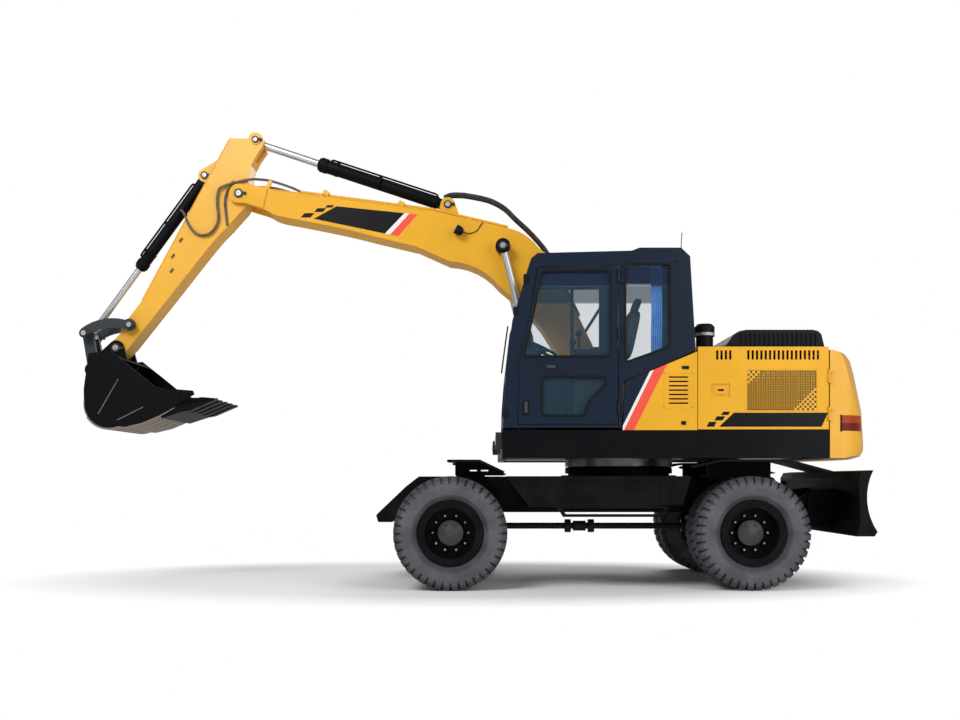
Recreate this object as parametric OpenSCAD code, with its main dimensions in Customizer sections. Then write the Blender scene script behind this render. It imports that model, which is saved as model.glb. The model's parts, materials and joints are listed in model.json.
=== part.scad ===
// Wheeled excavator with twin tyres, a rear blade and a one-piece boom, standing on z = 0.
// +X is forward, +Y is the cab side, +Z is up. Places along X are counted from the slew axis.

/* [Stance] */
// Distance from the middle of the whole machine back to its slew axis
slew_back = 1588; // [1500:10:1740]
// Distance between the axles
wheelbase = 2800; // [2700:10:2900]
// Distance from the slew axis forward to the front axle
front_axle_x = 1710; // [1690:5:1760]
// Width over the tyres and the blade
overall_w = 2490; // [2480:2:2540]

/* [Wheels] */
// Radius of a tyre at the tips of its lugs
tyre_r = 530; // [515:1:538]
// Width of one tyre
tyre_w = 278; // [260:1:282]
// Gap between the twin tyres on a hub
twin_gap = 42; // [30:1:50]
// Height of the tread lugs
lug_h = 22; // [14:1:28]
// Number of lugs round a tyre
lug_count = 30; // [20:1:36]
// Radius of the rim flange
rim_r = 303; // [290:1:315]
// Radius of the hub drum
hub_r = 129; // [110:1:140]
// Number of wheel studs
stud_count = 10; // [6:1:12]
// Radius of the wheel spindle
spindle_r = 60; // [45:1:70]
// Distance from the middle of an inner tyre in to its steering pivot
kingpin_in = 226; // [206:1:246]

/* [Chassis] */
// Height of the chassis deck
deck_z = 1060; // [1040:2:1070]
// Height of the underside of the chassis beam
beam_z = 700; // [680:2:730]
// Width of the chassis beam
beam_w = 660; // [560:2:700]
// Radius of the slew bearing
bearing_r = 550; // [500:2:580]
// Height of the joint between the two bearing rings
bearing_z = 1162; // [1140:1:1180]
// Thickness of the mudguard plates
guard_t = 20; // [10:1:24]

/* [Blade] */
// Height of the blade from edge to top
blade_h = 600; // [520:5:640]
// Height of the blade's edge above the ground when raised
blade_z = 505; // [480:5:560]
// Length of the blade's arms
blade_arm_len = 492; // [470:2:510]
// Slope of the raised arms
blade_arm_angle = 24; // [20:1:28]
// Distance between the two levels of arms
blade_link_gap = 222; // [200:2:240]

/* [House] */
// Height of the underside of the slewing platform
platform_z = 1226; // [1222:1:1232]
// Height of the platform's top
floor_z = 1483; // [1470:1:1495]
// Height of the top of the engine house
house_z = 2238; // [2180:2:2300]
// Width of the slewing house
house_w = 2470; // [2466:2:2500]
// Distance from the slew axis forward to the platform's front
platform_front = 1233; // [1210:1:1250]
// Distance from the slew axis back to the counterweight
tail_front = 1783; // [1740:1:1820]
// Depth of the counterweight, on top of which comes its swing radius
tail_depth = 604; // [560:2:640]
// Thickness of the doors and side panels
panel_t = 40; // [25:1:50]
// Height of the engine hood over the house
hood_h = 180; // [140:2:220]

/* [Cab] */
// Width of the cab
cab_w = 968; // [930:1:985]
// Height of the cab's floor above the platform
cab_gap = 22; // [15:1:35]
// Thickness of the cab's walls
cab_wall = 50; // [40:1:60]
// Height of the cab from bottom to roof
cab_h = 1657; // [1600:1:1700]
// Running gap round the cab door and the house doors
door_gap = 7; // [5:0.5:9]
// Thickness of the glass
glass_t = 8; // [5:0.5:12]

/* [Boom] */
// Distance from the foot pin to the stick pin
boom_len = 4300; // [4250:5:4350]
// Slope of the line between those pins
boom_angle = 29.7; // [25:0.1:33]
// Width of the boom
boom_w = 340; // [320:2:350]
// Place of the boom's middle across the machine
boom_y = -70; // [-90:1:-66]
// Height of the foot pin
foot_z = 1840; // [1800:1:1880]
// Distance from the slew axis forward to the foot pin
foot_x = 180; // [150:1:220]
// Radius of the foot pin
foot_pin_r = 45; // [35:1:55]

/* [Stick] */
// Distance from the stick pin to the bucket pin
stick_len = 2030; // [1980:5:2080]
// Slope of the line between those pins
stick_angle = -51.4; // [-55:0.1:-48]
// Width of the stick
stick_w = 260; // [240:2:266]
// Radius of the stick pin, the bucket pin and the link pins
link_pin_r = 35; // [28:1:40]

/* [Bucket] */
// Width of the bucket
bucket_w = 1000; // [900:5:1100]
// Thickness of the bucket's plates
bucket_t = 22; // [14:1:28]
// Number of teeth
tooth_count = 5; // [4:1:6]

/* [Cylinders] */
// Radius of the boom cylinder barrels
boom_barrel_r = 62; // [55:1:64]
// Radius of the boom cylinder rods
boom_rod_r = 37; // [30:1:42]
// Length of the boom cylinder rods out of their barrels
boom_rod_out = 774; // [740:2:800]
// Radius of the stick cylinder barrel
stick_barrel_r = 66; // [58:1:70]
// Radius of the stick cylinder rod
stick_rod_r = 38; // [30:1:42]
// Length of the stick cylinder rod out of its barrel
stick_rod_out = 677; // [640:1:700]
// Radius of the bucket cylinder barrel
bucket_barrel_r = 57; // [50:1:60]
// Radius of the bucket cylinder rod
bucket_rod_r = 32; // [26:1:36]
// Length of the bucket cylinder rod out of its barrel
bucket_rod_out = 865; // [840:1:890]
// Radial clearance of pins and rods
fit = 0.08; // [0.03:0.01:0.1]
// Side clearance between moving plates
side_gap = 6; // [5:0.5:8]

/* [Hidden] */
$fn = 64;

// Colours
yellow = [0.98, 0.68, 0.16];
navy = [0.12, 0.14, 0.19];
black = [0.09, 0.09, 0.10];
rubber = [0.22, 0.23, 0.25];
grey = [0.33, 0.36, 0.38];
chrome = [0.82, 0.83, 0.85];
clear = [0.55, 0.65, 0.70, 0.4];

// Points along an arc about a centre, from one angle to another
function arc(centre, r, a0, a1, n) =
    [for (i = [0:n]) let (a = a0 + (a1 - a0) * i / n) centre + r * [cos(a), sin(a)]];
// A point turned by an angle and moved to a pin
function turned(pin, angle, p) =
    pin + [p[0] * cos(angle) - p[1] * sin(angle), p[0] * sin(angle) + p[1] * cos(angle)];
function heading(a, b) = atan2(b[1] - a[1], b[0] - a[0]);
// Mirror image of a list of points about the second axis, in reverse order
function mirrored(points) = [for (i = [len(points) - 1:-1:0]) [points[i][0], -points[i][1]]];

module placed() translate([-slew_back, 0, 0]) children();
// A side-view outline made solid between two places across the machine
module slab(y0, y1) translate([0, y1, 0]) rotate([90, 0, 0]) linear_extrude(y1 - y0) children();
module both_sides() {
    children();
    mirror([0, 1, 0]) children();
}
module side_of(right) mirror([0, right ? 1 : 0, 0]) children();
// A round bar across the machine through a side-view point
module cross_bar(at, y0, y1, r)
    translate([at[0], y0, at[1]]) rotate([-90, 0, 0]) cylinder(h = y1 - y0, r = r);
// A frame with its first axis along the line between two side-view points
module along(a, b, y) translate([a[0], y, a[1]]) rotate([0, -heading(a, b), 0]) children();
module box(low, high) translate(low) cube(high - low);

// Wheel sizes
half_w = overall_w / 2;
axle_z = tyre_r;
rear_axle_x = front_axle_x - wheelbase;
tyre_out_y = half_w - tyre_w / 2;
tyre_in_y = tyre_out_y - tyre_w - twin_gap;
tread_r = tyre_r - lug_h;
bead_r = 254;
bead_half = 84;
flange_t = 28;
seat_gap = 0.3;
shoulder_drop = 35;
lug_w = tyre_w - 2 * shoulder_drop + 22;
wall_mid_r = (rim_r + tread_r) / 2 + 1;
wall_half = (tread_r - rim_r) / 2 - 1;
wall_r = (wall_half * wall_half + shoulder_drop * shoulder_drop) / (2 * shoulder_drop);
kingpin_y = tyre_in_y - kingpin_in;
disc_y = tyre_out_y - bead_half - flange_t - 9;
disc_t = 38;
hub_face_y = disc_y + disc_t + 65;
spindle_end_y = disc_y + 5;
stud_ring_r = 167.5;

// Chassis sizes
beam_half = beam_w / 2;
beam_rear = rear_axle_x - 390;
guard_z = platform_z - 14 - guard_t;
axle_r = 95;
casing_r = 160;
shaft_rise = 20;
front_input = 190;
rear_input = 380;
yoke_r = 70;
tow_back = 95;
tow_r = 25;
knuckle_half = 95;
yoke_t = 40;
kingpin_r = 25;

// Blade linkage: lower and upper arm pins on the chassis and on the blade
blade_root = [rear_axle_x - 340, 440];
blade_root_top = blade_root + [0, blade_link_gap];
blade_arm = blade_arm_len * [-cos(blade_arm_angle), sin(blade_arm_angle)];
blade_pin = blade_root + blade_arm;
blade_pin_top = blade_root_top + blade_arm;
blade_arm_y = 400;
blade_arm_half = 20;
blade_room = blade_arm_half + side_gap;
lug_t = 25;
blade_base = [beam_rear - 80, deck_z - 60];
blade_eye = blade_root + 0.6 * blade_arm;
blade_tie = blade_root + 0.38 * blade_arm;
blade_rod_out = 60;
blade_barrel_r = 45;
blade_rod_r = 26;

// House sizes
house_half = house_w / 2;
tail_r = tail_front + tail_depth;
tail_top = house_z - 15;
deck_top = house_z + 12;
well_left = 262;
well_right = -430;
plate_t = 59;
plate_z = platform_z + 15;
cab_out_y = house_half - 5;
cab_in_y = cab_out_y - cab_w;
cab_z = floor_z + cab_gap;
roof_z = cab_z + cab_h;
engine_front = -570;

// Pins of the boom, stick and bucket in the side view
foot = [foot_x, foot_z];
function on_boom(u, v) = turned(foot, boom_angle, [u, v]);
tip = on_boom(boom_len, 0);
function on_stick(u, v) = turned(tip, stick_angle, [u, v]);
bucket_pin = on_stick(stick_len, 0);
boom_cyl_base = [706, 1500];
boom_cyl_eye_at = [1666, 858];
boom_cyl_eye = on_boom(boom_cyl_eye_at[0], boom_cyl_eye_at[1]);
stick_cyl_base_at = [2393, 987];
stick_cyl_base = on_boom(stick_cyl_base_at[0], stick_cyl_base_at[1]);
stick_cyl_eye_at = [-543, 228];
stick_cyl_eye = on_stick(stick_cyl_eye_at[0], stick_cyl_eye_at[1]);
bucket_cyl_base_at = [69, 429];
bucket_cyl_base = on_stick(bucket_cyl_base_at[0], bucket_cyl_base_at[1]);
rocker_at = [stick_len - 275, 33];
rocker_pin = on_stick(rocker_at[0], rocker_at[1]);
link_top = on_stick(stick_len + 82, 342);
link_low = bucket_pin + [253, -222];
boom_half = boom_w / 2;
stick_half = stick_w / 2;
eye_half = 45;
gland_t = 10;
boom_cyl_y = boom_half + boom_barrel_r + gland_t + 8;
boom_boss_half = boom_cyl_y - eye_half - side_gap;

module boom_frame() translate([foot_x, boom_y, foot_z]) rotate([0, -boom_angle, 0]) children();
module stick_frame() translate([tip[0], boom_y, tip[1]]) rotate([0, -stick_angle, 0]) children();
module bucket_frame() translate([bucket_pin[0], boom_y, bucket_pin[1]]) children();

// Wheels

module tyre_solid(y) {
    side = [for (i = [-4:4]) let (t = i / 4)
        [wall_mid_r + t * wall_half,
         tyre_w / 2 - wall_r + sqrt(wall_r * wall_r - t * t * wall_half * wall_half)]];
    half = concat([[bead_r, bead_half], [rim_r + 2, bead_half]], side);
    pitch = 360 / lug_count;
    translate([0, y, 0]) rotate([90, 0, 0]) {
        rotate_extrude() polygon(concat(half, mirrored(half)));
        difference() {
            linear_extrude(lug_w, center = true) polygon([for (i = [0:lug_count - 1])
                for (corner = [[0, tread_r - 4], [0.08, tyre_r], [0.52, tyre_r], [0.6, tread_r - 4]])
                    let (a = (i + corner[0]) * pitch) corner[1] * [cos(a), sin(a)]]);
            cylinder(h = lug_w + 2, r = tread_r - 30, center = true);
        }
    }
}

module tyres(x, right) color(rubber) translate([x, 0, axle_z]) side_of(right) {
    tyre_solid(tyre_out_y);
    tyre_solid(tyre_in_y);
}

module rim_barrel(y) {
    seat = bead_r - seat_gap;
    edge = bead_half + seat_gap;
    half = [[seat - 17, edge + flange_t], [rim_r, edge + flange_t], [rim_r, edge + 8], [seat, edge]];
    translate([0, y, 0]) rotate([-90, 0, 0]) rotate_extrude() polygon(concat(half, mirrored(half)));
}

module rim(x, right) color(black) translate([x, 0, axle_z]) side_of(right) {
    inner_end = tyre_in_y + bead_half + flange_t;
    difference() {
        union() {
            rim_barrel(tyre_out_y);
            rim_barrel(tyre_in_y);
            rotate([-90, 0, 0]) rotate_extrude() polygon([
                [0, disc_y], [0, hub_face_y], [hub_r - 12, hub_face_y], [hub_r, hub_face_y - 12],
                [hub_r, disc_y + disc_t], [bead_r - 17, disc_y + disc_t], [bead_r - 17, disc_y + 18],
                [bead_r - 45, disc_y], [bead_r - 17, inner_end], [bead_r - 17, inner_end - 30],
                [hub_r, disc_y - 20], [hub_r, tyre_in_y - 60], [0, tyre_in_y - 60],
            ]);
            for (i = [0:stud_count - 1]) rotate([0, i * 360 / stud_count, 0])
                translate([stud_ring_r, disc_y + disc_t - 5, 0]) rotate([-90, 0, 0]) {
                    cylinder(h = 45, r = 12);
                    cylinder(h = 27, r = 22, $fn = 6);
                }
        }
        rotate([-90, 0, 0]) cylinder(h = spindle_end_y + 2, r = spindle_r + fit);
    }
}

// Axles and steering

module axle_beam(end_y) {
    cross_bar([0, 0], -end_y, end_y, axle_r);
    sphere(r = casing_r);
    both_sides() translate([0, 80, 0]) rotate([-90, 0, 0]) cylinder(h = 200, r1 = 132, r2 = axle_r);
}

module front_axle() color(black) translate([front_axle_x, 0, axle_z]) {
    difference() {
        union() {
            axle_beam(kingpin_y - yoke_r - 30);
            translate([-front_input, 0, shaft_rise]) rotate([0, 90, 0])
                cylinder(h = front_input - 60, r = 80);
            both_sides() for (low = [knuckle_half + 2, -knuckle_half - 2 - yoke_t]) {
                translate([-yoke_r, kingpin_y - yoke_r - 60, low]) cube([2 * yoke_r, yoke_r + 60, yoke_t]);
                translate([0, kingpin_y, low]) cylinder(h = yoke_t, r = yoke_r);
            }
            both_sides() box([-yoke_r, kingpin_y - yoke_r - 60, -knuckle_half - 2 - yoke_t],
                [yoke_r, kingpin_y - yoke_r - 12, knuckle_half + 2 + yoke_t]);
            for (x = [-110, 60]) box([x, -130, 120], [x + 50, 130, beam_z - axle_z]);
        }
        both_sides() translate([0, kingpin_y, -300]) cylinder(h = 600, r = kingpin_r + fit);
    }
}

module knuckle(right) color(black) translate([front_axle_x, 0, axle_z]) side_of(right) {
    translate([0, kingpin_y, -knuckle_half]) cylinder(h = 2 * knuckle_half, r = yoke_r - 4);
    translate([0, kingpin_y, -knuckle_half - yoke_t - 4])
        cylinder(h = 2 * (knuckle_half + yoke_t + 4), r = kingpin_r);
    cross_bar([0, 0], kingpin_y, spindle_end_y, spindle_r);
    cross_bar([0, 0], kingpin_y + 40, tyre_in_y - 60 - side_gap, 88);
}

module rear_axle() color(black) translate([rear_axle_x, 0, axle_z]) {
    axle_beam(tyre_in_y - 60 - side_gap);
    cross_bar([0, 0], -spindle_end_y, spindle_end_y, spindle_r);
    translate([60, 0, shaft_rise]) rotate([0, 90, 0]) cylinder(h = rear_input - 60, r = 112);
    for (y = [-420, 300]) box([-70, y, 60], [70, y + 120, beam_z - axle_z]);
    box([-70, -420, 140], [70, 420, beam_z - axle_z]);
}

module drive_shaft() color(black) {
    shaft_z = axle_z + shaft_rise;
    start = rear_axle_x + rear_input;
    end = front_axle_x - front_input;
    joint_x = (start + end) / 2;
    translate([start, 0, shaft_z]) rotate([0, 90, 0]) {
        cylinder(h = end - start, r = 32);
        for (x = [0, joint_x - start - 150, joint_x - start + 90, end - start - 60])
            translate([0, 0, x]) cylinder(h = 60, r = 68);
    }
    translate([joint_x, 0, shaft_z]) rotate([0, 90, 0]) cylinder(h = 130, r = 52, center = true);
}

// Chassis

module chassis_frame() color(black) difference() {
    nose_x = front_axle_x + 770;
    union() {
        slab(-beam_half, beam_half) polygon([
            [beam_rear, beam_z - 100], [beam_rear, deck_z], [nose_x - 430, deck_z],
            [nose_x - 300, deck_z - 100], [nose_x - 12, deck_z - 375], [nose_x, deck_z - 395],
            [nose_x - 20, deck_z - 460], [nose_x - 160, deck_z - 460], [nose_x - 340, beam_z],
            [rear_axle_x - 200, beam_z],
            [rear_axle_x - 240, beam_z - 100],
        ]);
        // Turret under the slew bearing
        translate([0, 0, beam_z + 60]) cylinder(h = deck_z + 13 - beam_z - 60, r = bearing_r + 40);
        // Lugs that carry the blade's arms and links
        both_sides() {
            box([blade_root[0] - 10, beam_half - 1, blade_root[1] - 60],
                [rear_axle_x - 220, blade_arm_y - blade_room, beam_z + 80]);
            box([blade_root[0] + 75, beam_half - 1, blade_root_top[1] - 10],
                [rear_axle_x - 220, blade_arm_y + blade_room + lug_t, beam_z + 80]);
            slab(beam_half - 1, blade_arm_y - blade_room) blade_lug();
            slab(blade_arm_y + blade_room, blade_arm_y + blade_room + lug_t)
                blade_lug();
            for (pin = [blade_root, blade_root_top])
                cross_bar(pin, beam_half - 1, blade_arm_y + blade_room + lug_t + 8, link_pin_r);
        }
        // Ears of the blade cylinder
        both_sides() slab(eye_half + side_gap, eye_half + side_gap + lug_t) hull() {
            translate(blade_base) circle(55);
            translate([beam_rear + 10, blade_base[1] - 55]) square([10, 110]);
        }
        cross_bar(blade_base, -eye_half - side_gap - 1, eye_half + side_gap + 1, link_pin_r);
    }
    // Towing jaw in the nose with its pin bore
    box([nose_x - 150, -120, deck_z - 405], [nose_x + 50, 120, deck_z - 365]);
    translate([nose_x - tow_back, 0, deck_z - 330]) cylinder(h = 200, r = 70);
    translate([nose_x - tow_back, 0, deck_z - 500]) cylinder(h = 300, r = tow_r);
}

module blade_lug() hull() {
    translate(blade_root) circle(62);
    translate(blade_root_top) circle(62);
    translate(blade_root_top + [90, -62]) square([60, 124]);
    translate(blade_root + [90, -40]) square([60, 80]);
}

module step_boxes() color(black) both_sides() {
    out_y = half_w - 125;
    difference() {
        slab(beam_half + 30, out_y) polygon([
            [rear_axle_x + 640, deck_z - 270], [rear_axle_x + 560, deck_z - 20], [rear_axle_x + 560, deck_z],
            [front_axle_x - 530, deck_z], [front_axle_x - 530, deck_z - 30],
            [front_axle_x - 750, deck_z - 290],
        ]);
        cylinder(h = 3000, r = bearing_r + 40 + seat_gap);
        // Recess of the locker lid
        slab(out_y - 12, out_y + 1) translate([-250, deck_z - 230]) square([900, 180]);
    }
    // Step rail under the box
    slab(out_y - 70, out_y) difference() {
        polygon([[-330, deck_z - 280], [720, deck_z - 280], [660, deck_z - 380], [-270, deck_z - 380]]);
        polygon([[-280, deck_z - 300], [670, deck_z - 300], [635, deck_z - 355], [-245, deck_z - 355]]);
    }
    // Bracket to the beam
    box([front_axle_x - 720, beam_half, deck_z - 160], [front_axle_x - 660, beam_half + 31, deck_z - 30]);
}

module front_mudguards() color(black) both_sides() {
    front = front_axle_x + 28;
    rear = front_axle_x - 505;
    slab(half_w - 610, half_w - 5) polygon([
        [rear, guard_z - 90], [rear + 20, guard_z - 100], [rear + 240, guard_z], [front, guard_z],
        [front, guard_z + guard_t], [rear + 230, guard_z + guard_t],
    ]);
    // Arm from the chassis beam to the plate
    slab(half_w - 660, half_w - 610) difference() {
        polygon([
            [rear - 30, deck_z + 12], [front - 60, deck_z + 12], [front - 60, guard_z + guard_t],
            [rear + 230, guard_z + guard_t], [rear, guard_z - 90],
        ]);
        for (x = [rear + 140, rear + 260]) translate([x, deck_z + 50]) square([80, 24]);
    }
    box([rear + 180, beam_half - 90, deck_z + 10], [front - 60, half_w - 659, deck_z + 40]);
    box([rear + 180, beam_half - 90, deck_z], [front - 60, beam_half, deck_z + 11]);
}

module rear_mudguards() color(black) both_sides() {
    front = rear_axle_x + 590;
    rear = rear_axle_x - 735;
    slab(half_w - 610, half_w - 5) polygon([
        [rear, guard_z - 90], [rear + 40, guard_z - 100], [rear + 330, guard_z - 22], [rear + 420, guard_z],
        [front - 280, guard_z], [front - 20, guard_z - 60], [front, guard_z - 40],
        [front - 270, guard_z + guard_t], [rear + 410, guard_z + guard_t],
    ]);
    slab(half_w - 660, half_w - 610) polygon([
        [rear + 420, deck_z - 30], [front - 290, deck_z - 30], [front - 290, guard_z + guard_t],
        [rear + 420, guard_z + guard_t],
    ]);
    box([rear + 420, beam_half, deck_z - 30], [front - 290, half_w - 659, deck_z + 10]);
}

module bearing_lower() color(black) translate([0, 0, deck_z + 13]) difference() {
    union() {
        cylinder(h = bearing_z - deck_z - 13.5, r = bearing_r - 30);
        translate([0, 0, 18]) cylinder(h = 46, r = bearing_r);
    }
    translate([0, 0, -1]) cylinder(h = 200, r = bearing_r - 130);
}

module bearing_upper() color(grey) translate([0, 0, bearing_z]) difference() {
    cylinder(h = platform_z + 15 - bearing_z, r = bearing_r);
    translate([0, 0, -1]) cylinder(h = 200, r = bearing_r - 130);
}

// Blade

module blade() color(black) {
    rear = blade_pin[0] - 330;
    top = blade_z + blade_h;
    bow = blade_h * 0.95;
    bow_centre = [rear + 90 - bow, blade_z + blade_h * 0.6];
    difference() {
        slab(-half_w, half_w) polygon(concat(
            [[rear + 185, blade_z], [rear + 20, blade_z]],
            arc(bow_centre, bow, -34, 26, 8),
            [[rear + 130, top], [rear + 165, top - 60], [rear + 150, blade_z + 120]]));
        slab(-half_w + 30, half_w - 30) translate([rear + 130, blade_z + 140]) square([100, blade_h - 230]);
    }
    // Brackets that meet the arms and links
    both_sides() for (y = [blade_arm_y - blade_room - lug_t, blade_arm_y + blade_room])
        slab(y, y + lug_t) hull() {
            translate(blade_pin) circle(55);
            translate(blade_pin_top) circle(55);
            translate([rear + 100, blade_pin[1] - 80]) square([20, blade_link_gap + 160]);
        }
    both_sides() cross_bar(blade_pin, blade_arm_y - blade_room - lug_t - 8,
        blade_arm_y + blade_room + lug_t + 8, link_pin_r);
}

module blade_bar(a, b, half) slab(blade_arm_y - half, blade_arm_y + half) difference() {
    hull() {
        translate(a) circle(52);
        translate(b) circle(52);
    }
    translate(a) circle(link_pin_r + fit);
    translate(b) circle(link_pin_r + fit);
}

module blade_arms() color(black) {
    both_sides() blade_bar(blade_root, blade_pin, blade_arm_half);
    difference() {
        cross_bar(blade_tie, -blade_arm_y, blade_arm_y, 38);
        cross_bar(blade_eye, -eye_half - side_gap, eye_half + side_gap, 80);
    }
    both_sides() slab(eye_half + side_gap, eye_half + side_gap + lug_t) hull() {
        translate(blade_eye) circle(50);
        translate(blade_tie) circle(38);
    }
}

module blade_links() color(black) both_sides()
    slab(blade_arm_y - blade_arm_half, blade_arm_y + blade_arm_half) difference() {
        hull() {
            translate(blade_root_top) circle(52);
            translate(blade_pin_top) circle(40);
        }
        translate(blade_root_top) circle(link_pin_r + fit);
    }

// Hydraulic cylinders, with the base pin at the start and the rod's eye at the end

module barrel_solid(r, rod_r, length, eye_r, pin_r, half) difference() {
    neck = eye_r + 40;
    union() {
        cross_bar([0, 0], -half, half, eye_r);
        box([0, -half, -half], [neck + 1, half, half]);
        rotate([0, 90, 0]) translate([0, 0, neck]) cylinder(h = length - neck, r = r);
        rotate([0, 90, 0]) translate([0, 0, length - 90]) cylinder(h = 70, r = r + gland_t);
    }
    cross_bar([0, 0], -half - 1, half + 1, pin_r + fit);
    rotate([0, 90, 0]) translate([0, 0, eye_r + 20]) cylinder(h = length, r = rod_r + fit);
}

module rod_solid(rod_r, start, length, eye_r, half) {
    rotate([0, 90, 0]) translate([0, 0, start]) cylinder(h = length - start, r = rod_r);
    cross_bar([length, 0], -half, half, eye_r);
}

// Each barrel's length, and how far along it the rod starts at rest, so that it stays inside at full stroke
boom_barrel_len = norm(boom_cyl_eye - boom_cyl_base) - boom_rod_out;
stick_barrel_len = norm(stick_cyl_eye - stick_cyl_base) - stick_rod_out;
bucket_barrel_len = norm(link_top - bucket_cyl_base) - bucket_rod_out;
blade_barrel_len = norm(blade_eye - blade_base) - blade_rod_out;
boom_rod_start = 0.6 * boom_barrel_len;
stick_rod_start = 0.495 * stick_barrel_len;
bucket_rod_start = 0.71 * bucket_barrel_len;
blade_rod_start = 0.187 * blade_barrel_len;

module boom_barrels() color(black) for (side = [-1, 1])
    along(boom_cyl_base, boom_cyl_eye, boom_y + side * boom_cyl_y)
        barrel_solid(boom_barrel_r, boom_rod_r, boom_barrel_len, 70, link_pin_r, eye_half);

module boom_rods() color(chrome) for (side = [-1, 1])
    along(boom_cyl_base, boom_cyl_eye, boom_y + side * boom_cyl_y)
        rod_solid(boom_rod_r, boom_rod_start, norm(boom_cyl_eye - boom_cyl_base), 72, eye_half);

module stick_barrel() color(black) along(stick_cyl_base, stick_cyl_eye, boom_y)
    barrel_solid(stick_barrel_r, stick_rod_r, stick_barrel_len, 72, link_pin_r, eye_half);

module stick_rod() color(chrome) along(stick_cyl_base, stick_cyl_eye, boom_y)
    rod_solid(stick_rod_r, stick_rod_start, norm(stick_cyl_eye - stick_cyl_base), 70, eye_half);

module bucket_barrel() color(black) along(bucket_cyl_base, link_top, boom_y)
    barrel_solid(bucket_barrel_r, bucket_rod_r, bucket_barrel_len, 62, link_pin_r, eye_half);

module bucket_rod() color(chrome) along(bucket_cyl_base, link_top, boom_y)
    rod_solid(bucket_rod_r, bucket_rod_start, norm(link_top - bucket_cyl_base), 62, eye_half);

module blade_barrel() color(black) along(blade_base, blade_eye, 0)
    barrel_solid(blade_barrel_r, blade_rod_r, blade_barrel_len, 52, link_pin_r, eye_half);

module blade_rod() color(chrome) along(blade_base, blade_eye, 0)
    rod_solid(blade_rod_r, blade_rod_start, norm(blade_eye - blade_base), 48, eye_half);

// Boom, stick and bucket

bend_centre = [1560, 590];
bend_r = 500;
bend_end = 70;
boom_outline = concat(
    arc([0, 0], 125, 300, 120, 10),
    [[306, 405], [875, 795], [1240, 1030]],
    arc(bend_centre, bend_r, 115, bend_end, 6),
    [[2499, 830], [3380, 470], [3765, 315], [boom_len - 270, 205], [boom_len - 200, 195]],
    arc([boom_len, 0], 105, 75, -100, 8),
    [[boom_len - 103, -58], [boom_len - 303, -12], [boom_len - 448, 0], [boom_len - 690, 80]],
    [[3189, 218], [2450, 433]],
    arc([1750, -130], 680, 62, 112, 6),
    [[1150, 440], [892, 340]]);

module boom() color(yellow) boom_frame() difference() {
    union() {
        slab(-boom_half, boom_half) polygon(boom_outline);
        // Ears of the stick cylinder
        both_sides() slab(eye_half + side_gap, eye_half + side_gap + 34) hull() {
            translate(stick_cyl_base_at) circle(75);
            translate(stick_cyl_base_at + [-230, -120]) square([270, 20]);
        }
        // Raised plates and bosses at the nose, bosses of the boom cylinders
        both_sides() slab(boom_half - 1, boom_half + 12) polygon(concat(
            [[boom_len - 230, 193], [boom_len - 295, -8], [boom_len - 110, -50]],
            arc([boom_len, 0], 100, -95, 75, 8)));
        cross_bar([boom_len, 0], -boom_half - 14, boom_half + 14, 80);
        cross_bar(boom_cyl_eye_at, -boom_boss_half, boom_boss_half, 78);
    }
    // Fork at the nose for the stick
    translate([boom_len - 340, -stick_half - side_gap, -600]) cube([700, stick_w + 2 * side_gap, 1200]);
    cross_bar([0, 0], -boom_half - 1, boom_half + 1, foot_pin_r + fit);
    // Slot that clears the eye of the stick cylinder
    cross_bar(stick_cyl_base_at, -eye_half - side_gap, eye_half + side_gap, 84);
}

// Pins that stay with the boom, put in after the slots are cut
module boom_pins() boom_frame() {
    cross_bar([boom_len, 0], -boom_half - 20, boom_half + 20, link_pin_r + 5);
    cross_bar(stick_cyl_base_at, -eye_half - side_gap - 40, eye_half + side_gap + 40, link_pin_r);
}

module boom_pipes() color(yellow) boom_frame() for (y = [-118, 118]) {
    run = [bend_centre + bend_r * [cos(bend_end), sin(bend_end)], [2499, 830], [3380, 470], [3765, 315]];
    lift = 26;
    for (i = [0:len(run) - 2]) {
        a = run[i] + [0, lift];
        b = run[i + 1] + [0, lift];
        along(a, b, y) rotate([0, 90, 0]) cylinder(h = norm(b - a), r = 14, $fn = 24);
        translate([b[0], y, b[1]]) sphere(r = 17, $fn = 24);
        along(run[i], run[i + 1], y) translate([norm(b - a) * 0.5, 0, 16]) cube([50, 40, 32], center = true);
    }
}

module boom_lamp() color(black) boom_frame() translate([2124, boom_half, 779]) {
    rotate([-90, 0, 0]) cylinder(h = 16, r = 22);
    translate([0, 60, 0]) rotate([0, 90, 0]) {
        cylinder(h = 50, r = 48);
        translate([0, 0, -30]) cylinder(h = 30, r1 = 30, r2 = 48);
    }
}

stick_outline = concat(
    arc(stick_cyl_eye_at, 78, 60, 215, 6),
    [[-540, 128], [-431, 122], [-311, 101], [-218, 52], [-150, 8]],
    arc([0, 0], 118, 185, 250, 5),
    [[79, -122], [571, -88], [stick_len - 60, -92]],
    arc([stick_len, 0], 92, -90, 70, 8),
    [[stick_len - 130, 70], [stick_len - 210, 100], [1481, 109], [-391, 448]]);

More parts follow.
